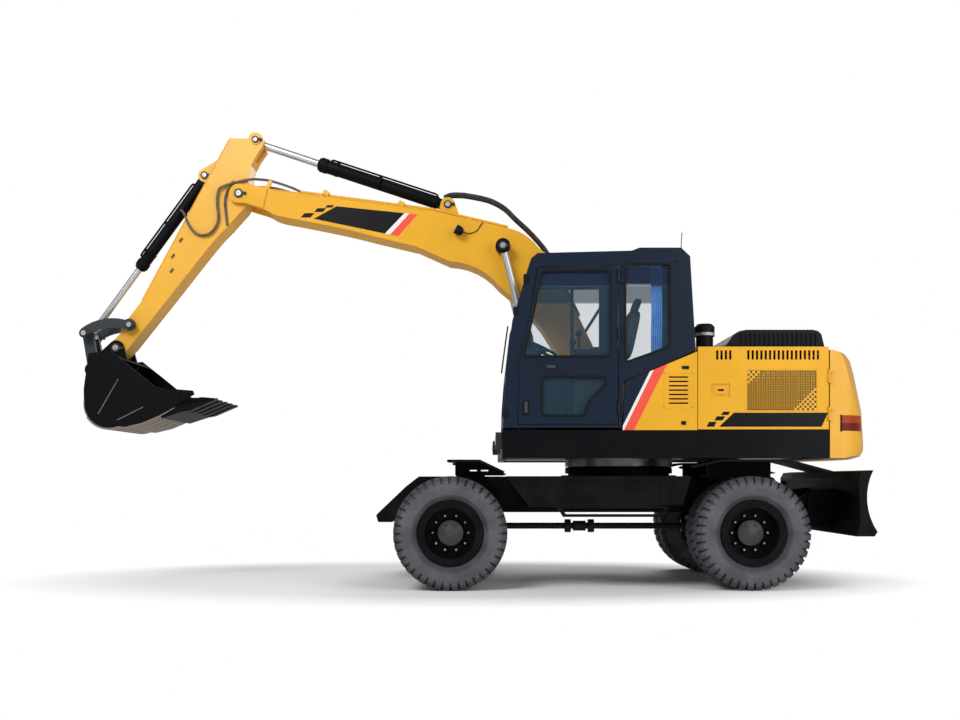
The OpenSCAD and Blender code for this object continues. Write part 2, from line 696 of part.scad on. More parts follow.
module stick() color(yellow) {
    stick_frame() difference() {
        union() {
            slab(-stick_half, stick_half) polygon(stick_outline);
            // Ears of the bucket cylinder
            both_sides() slab(eye_half + side_gap, eye_half + side_gap + 30) hull() {
                translate(bucket_cyl_base_at) circle(66);
                translate(bucket_cyl_base_at + [-360, -80]) square([400, 20]);
            }
        }
        // Gap between the ears for the eye of the stick cylinder
        translate([stick_cyl_eye_at[0] - 400, -eye_half - side_gap, stick_cyl_eye_at[1] - 130])
            cube([560, 2 * (eye_half + side_gap), 700]);
        // Room for the eye of the bucket cylinder
        cross_bar(bucket_cyl_base_at, -eye_half - side_gap, eye_half + side_gap, 75);
        cross_bar([0, 0], -stick_half - 1, stick_half + 1, link_pin_r + 5 + fit);
        cross_bar([stick_len, 0], -stick_half - 1, stick_half + 1, link_pin_r + 5 + fit);
        cross_bar(rocker_at, -stick_half - 1, stick_half + 1, link_pin_r + fit);
    }
    stick_frame() {
        cross_bar(bucket_cyl_base_at, -eye_half - side_gap - 36, eye_half + side_gap + 36, link_pin_r);
        both_sides() cross_bar(stick_cyl_eye_at, eye_half + side_gap, stick_half + 14, 46);
    }
}

ear_in = stick_half + side_gap;
ear_t = 30;
rocker_in = ear_in + ear_t + side_gap;
rocker_t = 26;
link_in = eye_half + side_gap;
link_t = 52;

module tipping_link() color(grey) translate([0, boom_y, 0]) {
    bow = (rocker_pin + link_top) / 2 - [60, 420];
    start = heading(bow, rocker_pin);
    end = heading(bow, link_top);
    both_sides() slab(rocker_in, rocker_in + rocker_t) {
        translate(rocker_pin) circle(62);
        translate(link_top) circle(50);
        polygon(concat(arc(bow, 530, start, end, 8), arc(bow, 435, end, start, 8)));
    }
    cross_bar(rocker_pin, -rocker_in - rocker_t - 8, rocker_in + rocker_t + 8, link_pin_r);
    both_sides() cross_bar(link_top, link_in, rocker_in + rocker_t + 8, link_pin_r);
}

module push_link() color(grey) translate([0, boom_y, 0]) {
    both_sides() slab(link_in, link_in + link_t) difference() {
        hull() {
            translate(link_top) circle(52);
            translate(link_low) circle(56);
        }
        translate(link_top) circle(link_pin_r + fit);
        translate(link_low) circle(link_pin_r + 1);
    }
    mid = link_top * 0.4 + link_low * 0.6;
    translate([mid[0], -link_in - 1, mid[1]]) rotate([-90, 0, 0]) cylinder(h = 2 * link_in + 2, r = 40);
}

// Side of the bucket seen from the left, from the pin: mouth edge, lip, floor and back
bucket_side = concat(
    [[-60, -70], [-247, -218], [-491, -417], [-602, -461], [-712, -461], [-700, -640], [-557, -720]],
    [[-380, -795], [-203, -838]],
    arc([-45, -600], 252, -115, 10, 8),
    [[205, -450], [182, -280], [160, -120], [150, -95]]);

module bucket() color(black) {
    half = bucket_w / 2;
    bucket_frame() {
        difference() {
            slab(-half, half) polygon(bucket_side);
            slab(-half + bucket_t, half - bucket_t) bucket_hollow();
            // Room for the end of the stick
            slab(-half + bucket_t, half - bucket_t) translate([-400, -125]) square([700, 200]);
        }
        // Lip plate and teeth
        slab(-half, half) polygon([[-690, -640], [-560, -718], [-575, -745], [-850, -655], [-845, -632]]);
        for (i = [0:tooth_count - 1]) {
            y = -half + 60 + i * (bucket_w - 120) / (tooth_count - 1);
            slab(y - 55, y + 55) polygon([
                [-760, -615], [-720, -690], [-860, -665], [-1105, -560], [-1100, -545], [-850, -600],
            ]);
        }
        // Side cutters
        both_sides() slab(half - bucket_t - 8, half + 6) polygon([
            [-590, -475], [-712, -455], [-880, -468], [-893, -505], [-720, -610], [-590, -600],
        ]);
        // Ears for the stick and the push link
        both_sides() slab(ear_in, ear_in + ear_t) hull() {
            circle(78);
            translate(link_low - bucket_pin) circle(70);
            translate([-120, -200]) square([60, 60]);
        }
        cross_bar([0, 0], -ear_in - ear_t - 8, ear_in + ear_t + 8, link_pin_r + 5);
        both_sides() cross_bar(link_low - bucket_pin, ear_in - 2, ear_in + ear_t + 8, link_pin_r);
    }
}

module bucket_hollow() {
    t = bucket_t;
    polygon(concat(
        [[-200, -150], [-491, -400], [-602, -440], [-900, -440], [-700, -620], [-557, -720 + t + 6]],
        [[-380, -795 + t + 4], [-203, -838 + t + 2]],
        arc([-45, -600], 252 - t, -112, 10, 8),
        [[205 - t, -450], [182 - t, -290], [160 - t, -215], [100, -180]]));
}

// Hinges of doors and lids: a pin with an ear at each end, and a sleeve that turns between the ears

hinge_len = 120;
hinge_pin_r = 8;
hinge_r = 13;
hinge_ear = 20;

module hinge_pin() {
    cylinder(h = hinge_len, r = hinge_pin_r);
    for (z = [0, hinge_len - hinge_ear]) translate([0, 0, z]) cylinder(h = hinge_ear, r = hinge_r);
}
module hinge_sleeve() translate([0, 0, hinge_ear + 2])
    cylinder(h = hinge_len - 2 * hinge_ear - 4, r = hinge_r);
module hinge_bore() translate([0, 0, -1]) cylinder(h = hinge_len + 2, r = hinge_pin_r + fit);
// Clearance cut out of the still side for the sleeve, and out of the moving side for the ears
module sleeve_room() translate([0, 0, hinge_ear])
    cylinder(h = hinge_len - 2 * hinge_ear, r = hinge_r + side_gap);
module ear_room() for (z = [-side_gap, hinge_len - hinge_ear - 2])
    translate([0, 0, z]) cylinder(h = hinge_ear + side_gap + 2, r = hinge_r + side_gap);

// Places of the hinges
module house_door_hinges() for (z = [floor_z + 90, house_z - 320])
    translate([-tail_front + 8, house_half + 8, z]) children();
module cab_door_hinges() for (z = [cab_z + 120, cab_z + 800, cab_z + 1330])
    translate([door_rear - 7, cab_out_y + 8, z]) children();
module hood_hinges() for (y = [-720, 600])
    translate([-tail_front + 14, y, deck_top + 8]) rotate([-90, 0, 0]) children();

// Slewing house

module platform() color(navy) {
    difference() {
        union() {
            box([-tail_front, -house_half, plate_z], [platform_front, house_half, plate_z + plate_t]);
            box([-tail_front, well_left - 6, plate_z], [platform_front, house_half, floor_z]);
            box([-tail_front, -house_half, plate_z], [platform_front, well_right, floor_z]);
            box([-tail_front, well_right, plate_z], [engine_front, well_left, floor_z]);
            // Skirts
            both_sides() box([-tail_front, house_half - 60, platform_z],
                [platform_front, house_half, plate_z + 1]);
            box([platform_front - 60, -house_half, platform_z], [platform_front, house_half, plate_z + 1]);
        }
        // Rounded front corners
        both_sides() translate([platform_front - 90, house_half - 90, platform_z - 5]) difference() {
            cube([200, 200, floor_z]);
            translate([0, 0, -1]) cylinder(h = floor_z + 2, r = 90);
        }
    }
    // Cheeks that carry the boom's foot, with its pin
    translate([0, boom_y, 0]) {
        both_sides() slab(boom_half + side_gap, boom_half + side_gap + 30) hull() {
            translate(foot) circle(120);
            translate([foot_x - 420, platform_z + plate_t]) square([820, 30]);
        }
        cross_bar(foot, -boom_half - side_gap - 38, boom_half + side_gap + 38, foot_pin_r);
        // Clevises of the boom cylinders
        both_sides() for (y = [boom_cyl_y - eye_half - side_gap - 20, boom_cyl_y + eye_half + side_gap])
            slab(y, y + 20) hull() {
                translate(boom_cyl_base) circle(62);
                translate([boom_cyl_base[0] - 110, platform_z + plate_t]) square([240, 20]);
            }
        both_sides() cross_bar(boom_cyl_base, boom_cyl_y - eye_half - side_gap - 22,
            boom_cyl_y + eye_half + side_gap + 22, link_pin_r);
    }
    // Mounts under the cab
    for (x = [120, platform_front - 140], y = [cab_in_y + 110, cab_out_y - 110])
        translate([x, y, floor_z]) cylinder(h = cab_gap, r = 42);
}

module counterweight() color(yellow) {
    difference() {
        tail_block();
        both_sides() house_door_hinges() sleeve_room();
    }
    both_sides() house_door_hinges() {
        hinge_pin();
        for (z = [0, hinge_len - hinge_ear]) box([-30, -20, z], [0, hinge_r, z + hinge_ear]);
    }
}

// Rounded corner between the counterweight's side and its tail
tail_corner_r = 260;
tail_corner_y = house_half - tail_corner_r;
tail_corner = [-sqrt(pow(tail_r - tail_corner_r, 2) - pow(tail_corner_y, 2)), tail_corner_y];
tail_corner_end = heading([0, 0], tail_corner);

// Plan of a band round that corner between two radii
module corner_band(r0, r1) polygon(concat(
    arc(tail_corner, r1, 90, tail_corner_end, 12), arc(tail_corner, r0, tail_corner_end, 90, 12)));

module tail_block() difference() {
    intersection() {
        rotate_extrude($fn = 160) polygon([
            [tail_front / 2, platform_z], [tail_r - 110, platform_z], [tail_r - 30, platform_z + 25],
            [tail_r - 4, platform_z + 75], [tail_r, platform_z + 130], [tail_r - 20, platform_z + 460],
            [tail_r - 84, platform_z + 790], [tail_r - 118, tail_top - 70], [tail_r - 150, tail_top - 18],
            [tail_r - 205, tail_top], [tail_front / 2, tail_top],
        ]);
        box([-tail_r - 10, -house_half, platform_z - 1], [-tail_front, house_half, tail_top + 1]);
    }
    both_sides() translate([0, 0, platform_z - 1]) linear_extrude(house_z) corner_band(tail_corner_r, 600);
    // Lifting socket in the top
    translate([-tail_front - 150, 0, tail_top - 60]) cylinder(h = 200, r = 15);
    // Pockets of the tail lamps
    tail_lamps(0, 20);
}

// Corner lamps, shrunk by a gap on every hidden side, out to an allowance past the corner
module tail_lamps(gap, out) both_sides() translate([0, 0, platform_z + 250 + gap])
    linear_extrude(144 - 2 * gap) corner_band(tail_corner_r - 70 + gap, tail_corner_r + out);

module engine() color(grey) {
    box([-tail_front + 60, -420, floor_z], [engine_front - 180, 420, floor_z + 560]);
    translate([engine_front - 220, 0, floor_z + 290]) rotate([0, 90, 0]) cylinder(h = 130, r = 240);
}

// Side of the house under the cab's raised rear, with the cab's slope as its front edge
module left_panel() color(yellow) difference() {
    slab(house_half - panel_t, house_half) polygon([
        [122, floor_z], [122, cab_z], [102, cab_z + 422], [-390, cab_z + 628],
        [engine_front + door_gap, cab_z + 700], [engine_front + door_gap, floor_z],
    ]);
    // Louvres
    for (i = [0:6]) slab(house_half - 10, house_half + 1)
        translate([-477, floor_z + 240 + i * 40]) square([175, 14]);
}

grille_rear = -tail_front + 120;
grille_w = 645;
grille_z = floor_z + 178;
grille_h = 374;

module grille_door() {
    difference() {
        slab(house_half - panel_t, house_half) polygon([
            [engine_front, floor_z + door_gap], [engine_front, deck_top], [-tail_front + 12, deck_top],
            [-tail_front + 12, floor_z + door_gap],
        ]);
        // Slots along the top, in two groups
        for (i = [0:20]) slab(house_half - 60, house_half + 1)
            translate([engine_front - 187 - i * 40 - (i > 3 ? 126 : 0), deck_top - 119]) square([22, 85]);
        // Perforated grille in a shallow recess
        slab(house_half - 10, house_half + 1) translate([grille_rear, grille_z]) square([grille_w, grille_h]);
        for (row = [0:7], i = [0:13]) slab(house_half - 60, house_half + 1)
            translate([grille_rear + 8 + i * 46, grille_z + 8 + row * 46]) square([30, 30]);
        // Recess of the latch
        slab(house_half - 12, house_half + 1) translate([engine_front - 294, floor_z + 305])
            square([173, 122]);
    }
    slab(house_half - 14, house_half - 2) translate([engine_front - 240, floor_z + 330]) square([70, 70]);
}

module house_door(right) side_of(right) difference() {
    union() {
        difference() {
            grille_door();
            house_door_hinges() ear_room();
        }
        house_door_hinges() hinge_sleeve();
    }
    house_door_hinges() hinge_bore();
}

module left_door() color(yellow) house_door(false);
module right_door() color(yellow) house_door(true);

module engine_deck() color(yellow) {
    z = house_z - 20 + door_gap;
    half = house_half - panel_t - door_gap;
    difference() {
        box([-tail_front, -half, z], [engine_front + 20, half, deck_top]);
        box([-tail_front + 80, -780, z - 1], [engine_front - 300, 780, deck_top + 1]);
        hood_hinges() sleeve_room();
    }
    hood_hinges() hinge_pin();
    // Wall in front of the engine
    box([engine_front + door_gap, -house_half + panel_t + 5, floor_z],
        [engine_front + 20, house_half - panel_t - 5, z + 1]);
}

module hood() color(black) difference() {
    union() {
        difference() {
            hood_box();
            hood_hinges() ear_room();
        }
        hood_hinges() hinge_sleeve();
    }
    hood_hinges() hinge_bore();
}

module hood_box() {
    front = engine_front - 275;
    rear = -tail_front + 22;
    base = deck_top + door_gap;
    top = house_z + hood_h;
    half = house_half - 85;
    wall = 25;
    difference() {
        slab(-half, half) polygon([
            [front, base], [front - 14, base + 35], [front - 70, top - 48], [front - 120, top - 14],
            [front - 190, top], [rear + 110, top], [rear + 60, top - 12], [rear + 30, top - 42], [rear, base],
        ]);
        slab(-half + wall, half - wall) polygon([
            [front - 35, base - 1], [front - 85, top - 75], [front - 195, top - wall],
            [rear + 105, top - wall], [rear + 55, top - 55], [rear + wall, base - 1],
        ]);
        // Ribs of the side vents
        both_sides() for (i = [0:16]) box([rear + 80 + i * 43, half - 12, base + 12],
            [rear + 101 + i * 43, half + 1, top - 38]);
    }
}

module air_cleaner() color(black) translate([engine_front - 120, 950, deck_top]) {
    cylinder(h = 130, r = 80);
    translate([0, 0, 130]) cylinder(h = 90, r = 94);
    translate([0, 0, 220]) cylinder(h = 26, r1 = 94, r2 = 70);
}

module fuel_tank() color(yellow) {
    front = platform_front - 150;
    difference() {
        slab(-house_half, well_right - 10) polygon([
            [380, floor_z], [380, floor_z + 620], [600, floor_z + 620], [600, floor_z + 420],
            [820, floor_z + 420], [820, floor_z + 210], [front, floor_z + 210], [front, floor_z],
        ]);
        for (step = [[600, 620], [820, 420]]) translate([step[0], 0, floor_z + step[1]])
            box([-190, -house_half + 100, -8], [-20, well_right - 110, 1]);
    }
}

module oil_tank() color(yellow) {
    box([engine_front + 20, -house_half, floor_z], [380 - door_gap, well_right - 10, floor_z + 640]);
    translate([-150, -820, floor_z + 640]) cylinder(h = 35, r = 60);
}

module handrail() color(black) {
    y = -house_half + 70;
    base = floor_z + 640;
    r = 17;
    rail = [[330, base], [330, base + 440], [42, base + 895], [-40, base + 945], [-150, base + 945],
        [-190, base + 905], [-190, base]];
    for (i = [0:len(rail) - 2]) along(rail[i], rail[i + 1], y) rotate([0, 90, 0])
        cylinder(h = norm(rail[i + 1] - rail[i]), r = r, $fn = 32);
    for (i = [1:len(rail) - 2]) translate([rail[i][0], y, rail[i][1]]) sphere(r = r + 0.5, $fn = 32);
    translate([-190, y, base + 420]) rotate([0, 90, 0]) cylinder(h = 520, r = r - 4);
}

module lamps() color(black) {
    both_sides() box([platform_front, house_half - 200, platform_z + 84],
        [platform_front + 57, house_half - 90, platform_z + 241]);
    tail_lamps(seat_gap, -3);
}

// Cab

// Outline of the cab's side, from the front foot round over the roof to the raised rear
cab_outline = [
    [1224, cab_z], [1217, cab_z + 213], [1197, cab_z + 480], [1138, cab_z + 984], [1011, cab_z + 1412],
    [965, cab_z + 1558], [905, roof_z - 50], [40, roof_z - 28], [-34, roof_z], [-415, roof_z],
    [-498, roof_z - 80], [-547, cab_z + 758], [-547, cab_z + 716], [-385, cab_z + 640], [112, cab_z + 432],
    [133, cab_z],
];
door_rear = 165;
door_outline = [
    [door_rear, cab_z + 35], [1085, cab_z + 35], [1076, cab_z + 373], [1076, cab_z + 612],
    [971, cab_z + 1038], [905, cab_z + 1470], [door_rear, cab_z + 1490],
];
upper_window = [
    [232, cab_z + 655], [1035, cab_z + 655], [940, cab_z + 1060], [880, cab_z + 1440], [232, cab_z + 1448],
];
lower_window = [
    [866, cab_z + 110], [866, cab_z + 470], [275, cab_z + 470], [275, cab_z + 400], [430, cab_z + 250],
    [470, cab_z + 110],
];
rear_window = [[100, cab_z + 600], [100, cab_z + 1505], [-315, cab_z + 1505], [-315, cab_z + 745]];

curtain_y = cab_out_y - cab_wall - 30;
curtain_z = cab_z + 1518;
rail_r = 8;

module cab_shell() color(navy) {
    difference() {
        cab_walls();
        cab_door_hinges() sleeve_room();
    }
    cab_door_hinges() {
        hinge_pin();
        for (z = [0, hinge_len - hinge_ear]) box([-35, -20, z], [0, hinge_r, z + hinge_ear]);
    }
    // Rail that the curtain hangs from
    for (x = [-340, 110]) cross_bar([x, curtain_z], curtain_y, cab_out_y - cab_wall + 1, rail_r);
    translate([-348, curtain_y, curtain_z]) rotate([0, 90, 0]) cylinder(h = 466, r = rail_r);
}

module cab_walls() difference() {
    slab(cab_in_y, cab_out_y) polygon(cab_outline);
    slab(cab_in_y + cab_wall, cab_out_y - cab_wall) offset(delta = -cab_wall) polygon(cab_outline);
    // Door opening
    slab(cab_out_y - cab_wall - 10, cab_out_y + 10) offset(delta = door_gap) polygon(door_outline);
    // Side windows
    slab(cab_out_y - cab_wall - 10, cab_out_y + 10) polygon(rear_window);
    slab(cab_in_y - 10, cab_in_y + cab_wall + 10) polygon(rear_window);
    slab(cab_in_y - 10, cab_in_y + cab_wall + 10) polygon(upper_window);
    // Windscreen, lower front window, rear window and roof hatch
    box([700, cab_in_y + 75, cab_z + 500], [1400, cab_out_y - 75, cab_z + 1430]);
    box([900, cab_in_y + 75, cab_z + 110], [1400, cab_out_y - 75, cab_z + 440]);
    box([-700, cab_in_y + 110, cab_z + 800], [-440, cab_out_y - 110, cab_z + 1440]);
    box([120, cab_in_y + 200, roof_z - 200], [700, cab_out_y - 200, roof_z + 50]);
}

module pane(y) slab(y, y + glass_t) children();

// A front pane between two levels of the outline, set in the middle of the wall
module front_pane(points) slab(cab_in_y + 75 + seat_gap, cab_out_y - 75 - seat_gap) polygon(concat(
    points - [for (p = points) [12, 0]],
    [for (i = [len(points) - 1:-1:0]) points[i] - [12 + glass_t, 0]]));

module cab_glass() color(clear) {
    pane(cab_out_y - 30) offset(delta = -seat_gap) polygon(rear_window);
    pane(cab_in_y + 22) offset(delta = -seat_gap) polygon(rear_window);
    pane(cab_in_y + 22) offset(delta = -seat_gap) polygon(upper_window);
    front_pane([
        [1194.5, cab_z + 500.3], [1138, cab_z + 984], [1011, cab_z + 1412], [1005.5, cab_z + 1429.7],
    ]);
    front_pane([[1220, cab_z + 110.3], [1217, cab_z + 213], [1200.5, cab_z + 439.7]]);
    slab(cab_in_y + 110 + seat_gap, cab_out_y - 110 - seat_gap) polygon([
        [-522, cab_z + 800.3], [-510, cab_z + 800.3], [-480, cab_z + 1439.7], [-492, cab_z + 1439.7],
    ]);
    box([120 + seat_gap, cab_in_y + 200 + seat_gap, roof_z - 62],
        [700 - seat_gap, cab_out_y - 200 - seat_gap, roof_z - 62 + glass_t]);
}

module cab_door() color(navy) difference() {
    union() {
        difference() {
            door_frame();
            cab_door_hinges() ear_room();
        }
        cab_door_hinges() hinge_sleeve();
    }
    cab_door_hinges() hinge_bore();
}

module door_frame() {
    difference() {
        slab(cab_out_y - cab_wall + 4, cab_out_y) polygon(door_outline);
        slab(cab_out_y - cab_wall, cab_out_y + 1) polygon(upper_window);
        slab(cab_out_y - cab_wall, cab_out_y + 1) polygon(lower_window);
    }
    // Handle
    slab(cab_out_y, cab_out_y + 12) translate([1000, cab_z + 130]) square([30, 130]);
}

module door_glass() color(clear) {
    pane(cab_out_y - 28) offset(delta = -seat_gap) polygon(upper_window);
    pane(cab_out_y - 28) offset(delta = -seat_gap) polygon(lower_window);
}

cab_mid_y = cab_in_y + cab_w / 2;
seat_z = cab_z + 570;

module seat() color(black) translate([0, cab_mid_y, 0]) {
    box([10, -230, seat_z], [470, 230, seat_z + 110]);
    slab(-220, 220) polygon([
        [-20, seat_z + 110 + seat_gap], [120, seat_z + 110 + seat_gap], [10, seat_z + 560],
        [-110, seat_z + 560],
    ]);
    slab(-130, 130) polygon([
        [0, seat_z + 560 + seat_gap], [-90, seat_z + 560 + seat_gap], [-125, seat_z + 690],
        [-60, seat_z + 690],
    ]);
}

module controls() color(black) translate([0, cab_mid_y, 0]) {
    // Seat base and side consoles
    box([200, -200, cab_z + cab_wall], [440, 200, seat_z]);
    both_sides() box([200, 250, cab_z + cab_wall], [560, 370, cab_z + 740]);
    both_sides() translate([510, 310, cab_z + 740]) {
        cylinder(h = 150, r = 14);
        translate([0, 0, 150]) sphere(r = 32);
    }
    // Steering column and wheel
    slab(-50, 50) polygon([
        [900, cab_z + cab_wall], [1010, cab_z + cab_wall], [920, cab_z + 730], [850, cab_z + 730],
    ]);
    translate([880, 0, cab_z + 730]) rotate([0, -25, 0]) {
        cylinder(h = 70, r = 35);
        translate([0, 0, 60]) rotate_extrude() translate([180, 0]) circle(14, $fn = 24);
        for (a = [0, 120, 240]) rotate([0, 0, a]) translate([0, -14, 50]) cube([180, 28, 20]);
    }
}

module curtain() color([0.25, 0.45, 0.75]) slab(curtain_y - 15, curtain_y + 15)
    translate([-255, cab_z + 690]) square([105, curtain_z - rail_r - seat_gap - cab_z - 690]);

placed() chassis_frame();
placed() step_boxes();
placed() front_mudguards();
placed() rear_mudguards();
placed() bearing_lower();
placed() front_axle();
placed() rear_axle();
placed() drive_shaft();
placed() knuckle(false);  // knuckle_left
placed() knuckle(true);  // knuckle_right
placed() rim(front_axle_x, false);  // rim_front_left
placed() rim(front_axle_x, true);  // rim_front_right
placed() rim(rear_axle_x, false);  // rim_rear_left
placed() rim(rear_axle_x, true);  // rim_rear_right
placed() tyres(front_axle_x, false);  // tyres_front_left
placed() tyres(front_axle_x, true);  // tyres_front_right
placed() tyres(rear_axle_x, false);  // tyres_rear_left
placed() tyres(rear_axle_x, true);  // tyres_rear_right
placed() blade_arms();
placed() blade_links();
placed() blade();
placed() blade_barrel();
placed() blade_rod();
placed() bearing_upper();
placed() platform();
placed() counterweight();
placed() engine();
placed() left_panel();
placed() fuel_tank();
placed() oil_tank();
placed() engine_deck();
placed() air_cleaner();
placed() handrail();
placed() lamps();
placed() hood();
placed() left_door();
placed() right_door();
placed() cab_shell();
placed() cab_glass();
placed() cab_door();
placed() door_glass();
placed() seat();
placed() controls();
placed() curtain();
placed() {
    boom();
    color(yellow) boom_pins();
}
placed() boom_pipes();
placed() boom_lamp();
placed() boom_barrels();
placed() boom_rods();
placed() stick_barrel();
placed() stick_rod();
placed() stick();
placed() tipping_link();
placed() push_link();
placed() bucket_barrel();
placed() bucket_rod();
placed() bucket();
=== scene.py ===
"""Looks of the wheeled excavator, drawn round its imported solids.

Shape functions work in millimetres counted from the slew axis, and row() turns them into metres of
the shared frame. A shape is a pair: its points, and a list of face arrays that index them.
"""

import json
import math

import bpy
import numpy as np
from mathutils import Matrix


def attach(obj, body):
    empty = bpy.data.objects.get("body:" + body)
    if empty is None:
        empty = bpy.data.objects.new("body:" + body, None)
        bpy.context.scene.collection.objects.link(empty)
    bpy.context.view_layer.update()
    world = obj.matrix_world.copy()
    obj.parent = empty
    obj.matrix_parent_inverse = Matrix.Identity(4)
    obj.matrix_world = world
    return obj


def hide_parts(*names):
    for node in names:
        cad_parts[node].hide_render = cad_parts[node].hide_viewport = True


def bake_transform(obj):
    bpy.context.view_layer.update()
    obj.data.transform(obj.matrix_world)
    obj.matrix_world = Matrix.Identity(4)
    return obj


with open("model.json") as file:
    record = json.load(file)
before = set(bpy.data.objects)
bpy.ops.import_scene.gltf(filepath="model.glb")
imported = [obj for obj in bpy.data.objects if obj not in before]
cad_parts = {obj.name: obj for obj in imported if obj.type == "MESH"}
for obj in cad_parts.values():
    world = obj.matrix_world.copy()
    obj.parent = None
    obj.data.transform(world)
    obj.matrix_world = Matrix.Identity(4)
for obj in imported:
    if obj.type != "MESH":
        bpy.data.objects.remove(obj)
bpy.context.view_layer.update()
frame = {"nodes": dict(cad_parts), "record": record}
nodes = frame["nodes"]
scene = bpy.context.scene
scene.view_settings.view_transform = "Standard"

# Places that the solids use too
SLEW_BACK = 1588
BOOM_Y = -70
FOOT = (180, 1840)
BOOM_ANGLE = 29.7
STICK_PIN = (3915.1, 3970.5)
STICK_ANGLE = -51.4
BUCKET_PIN = (5181.6, 2384.0)
AXLE_Z = 530
AXLES = {"front": 1710, "rear": -1090}
TYRE_OUT_Y = 1106
TYRE_IN_Y = 786
CAB_Z = 1505
CAB_OUT_Y = 1230
HUB_FACE_Y = 1088
BUCKET_SIDE_Y = 500
# Each cylinder's foot pin and rod pin
BOOM_CYL = ((706, 1500), (1202.0, 3410.7))
STICK_CYL = ((1769.6, 3883.0), (3754.5, 4537.1))
BUCKET_CYL = ((4293.4, 4184.2), (5500.0, 2533.3))


def row(points):
    """Millimetres from the slew axis to metres in the shared frame."""
    return (np.asarray(points, float) - (SLEW_BACK, 0, 0)) / 1000


def turned_by(pin, angle, points):
    """Places (along, up, y) of a turned member as points: the pin plus the pair turned by the angle."""
    along, up, y = np.asarray(points, float).T
    c, s = math.cos(math.radians(angle)), math.sin(math.radians(angle))
    return np.stack([pin[0] + along * c - up * s, y, pin[1] + along * s + up * c], -1)


def on_boom(points):
    """Places along and above the line from the boom's foot pin to the stick's pin."""
    return turned_by(FOOT, BOOM_ANGLE, points)


def on_stick(points):
    """Places along and above the line from the stick's pin to the bucket's pin."""
    return turned_by(STICK_PIN, STICK_ANGLE, points)


def from_bucket(points):
    """Places ahead of and above the bucket's pin."""
    return turned_by(BUCKET_PIN, 0, points)


# Shapes


def grid(points, close_u=False, close_v=False):
    """Quads between neighbours of points of shape (u, v, 3), with either direction closed on itself."""
    nu, nv = points.shape[:2]
    i = np.arange(nu if close_u else nu - 1)[:, None]
    j = np.arange(nv if close_v else nv - 1)
    corners = [(i, j), (i + 1, j), (i + 1, j + 1), (i, j + 1)]
    return np.stack([a % nu * nv + b % nv for a, b in corners], -1).reshape(-1, 4)


def joined(*shapes):
    """Several shapes as one, with their faces renumbered."""
    points, faces, start = [], [], 0
    for own_points, own_faces in shapes:
        points.append(own_points)
        faces += [face + start for face in own_faces]
        start += len(own_points)
    return np.concatenate(points), faces


def copies(shape, offsets):
    """The shape repeated at each offset."""
    points, faces = shape
    offsets = np.asarray(offsets, float).reshape(-1, 1, 3)
    step = np.arange(len(offsets))[:, None, None] * len(points)
    return (points + offsets).reshape(-1, 3), [(face + step).reshape(-1, face.shape[1]) for face in faces]


def unit(vectors):
    return vectors / np.linalg.norm(vectors, axis=-1, keepdims=True)


def swept(path, section, across=(0, 1, 0), closed=False):
    """A section carried along a path: path point + first number * side + second number * up.

    The side is the tangent crossed with the across direction, and up is the side crossed with the tangent.
    """
    path = np.asarray(path, float)
    section = np.asarray(section, float)
    tangent = np.roll(path, -1, 0) - np.roll(path, 1, 0) if closed else np.gradient(path, axis=0)
    tangent = unit(tangent)
    side = unit(np.cross(tangent, across))
    up = np.cross(side, tangent)
    points = path[:, None] + section[:, :1] * side[:, None] + section[:, 1:] * up[:, None]
    count, corners = points.shape[:2]
    faces = [grid(points, closed, True)]
    if not closed:
        faces += [np.arange(corners)[None, ::-1], np.arange(corners)[None] + (count - 1) * corners]
    return points.reshape(-1, 3), faces


def ring(radius, sides):
    """Points of a circle: radius times cosine and sine of evenly spaced angles."""
    angle = np.arange(sides) * math.tau / sides
    return radius * np.stack([np.cos(angle), np.sin(angle)], -1)


def tube(path, radius, sides=14, across=(0, 1, 0)):
    """A round section carried along a path."""
    return swept(path, ring(radius, sides), across)


def lathe(profile, axis=(0, 1, 0), sides=32):
    """A profile of (radius, height) pairs turned about an axis.

    A point is radius * (cosine * u + sine * v) + height * axis, with u and v square to the axis.
    """
    radius, height = np.asarray(profile, float).T
    axis = unit(np.asarray(axis, float))
    u = unit(np.cross(axis, (0.31, 0.2, 0.93)))
    v = np.cross(axis, u)
    around = ring(1, sides)
    points = radius[:, None, None] * (around[:, :1] * u + around[:, 1:] * v) + height[:, None, None] * axis
    last = (len(radius) - 1) * sides
    caps = [np.arange(sides)[None, ::-1], np.arange(sides)[None] + last]
    return points.reshape(-1, 3), [grid(points, False, True)] + caps


def smooth_path(points, count=48):
    """A smooth path through points: each span is a cubic with its neighbours' half difference as slopes."""
    p = np.asarray(points, float)
    slope = np.gradient(p, axis=0)
    t = np.linspace(0, len(p) - 1, count)
    i = np.minimum(t.astype(int), len(p) - 2)
    f = (t - i)[:, None]
    start = (2 * f**3 - 3 * f**2 + 1) * p[i] + (f**3 - 2 * f**2 + f) * slope[i]
    return start + (3 * f**2 - 2 * f**3) * p[i + 1] + (f**3 - f**2) * slope[i + 1]


def rounded(corners, radius, steps=6):
    """A closed outline whose corners are quadratic curves that start and end radius away from them."""
    p = np.asarray(corners, float)
    back = p + radius * unit(np.roll(p, 1, 0) - p)
    ahead = p + radius * unit(np.roll(p, -1, 0) - p)
    t = np.linspace(0, 1, steps)[:, None]
    curve = (1 - t) ** 2 * back[:, None] + 2 * t * (1 - t) * p[:, None] + t**2 * ahead[:, None]
    return curve.reshape(-1, 2)


def at_y(outline, y):
    """A side-view outline (X, Z) at one place across the machine."""
    outline = np.asarray(outline, float)
    return np.stack([outline[:, 0], np.full(len(outline), float(y)), outline[:, 1]], -1)


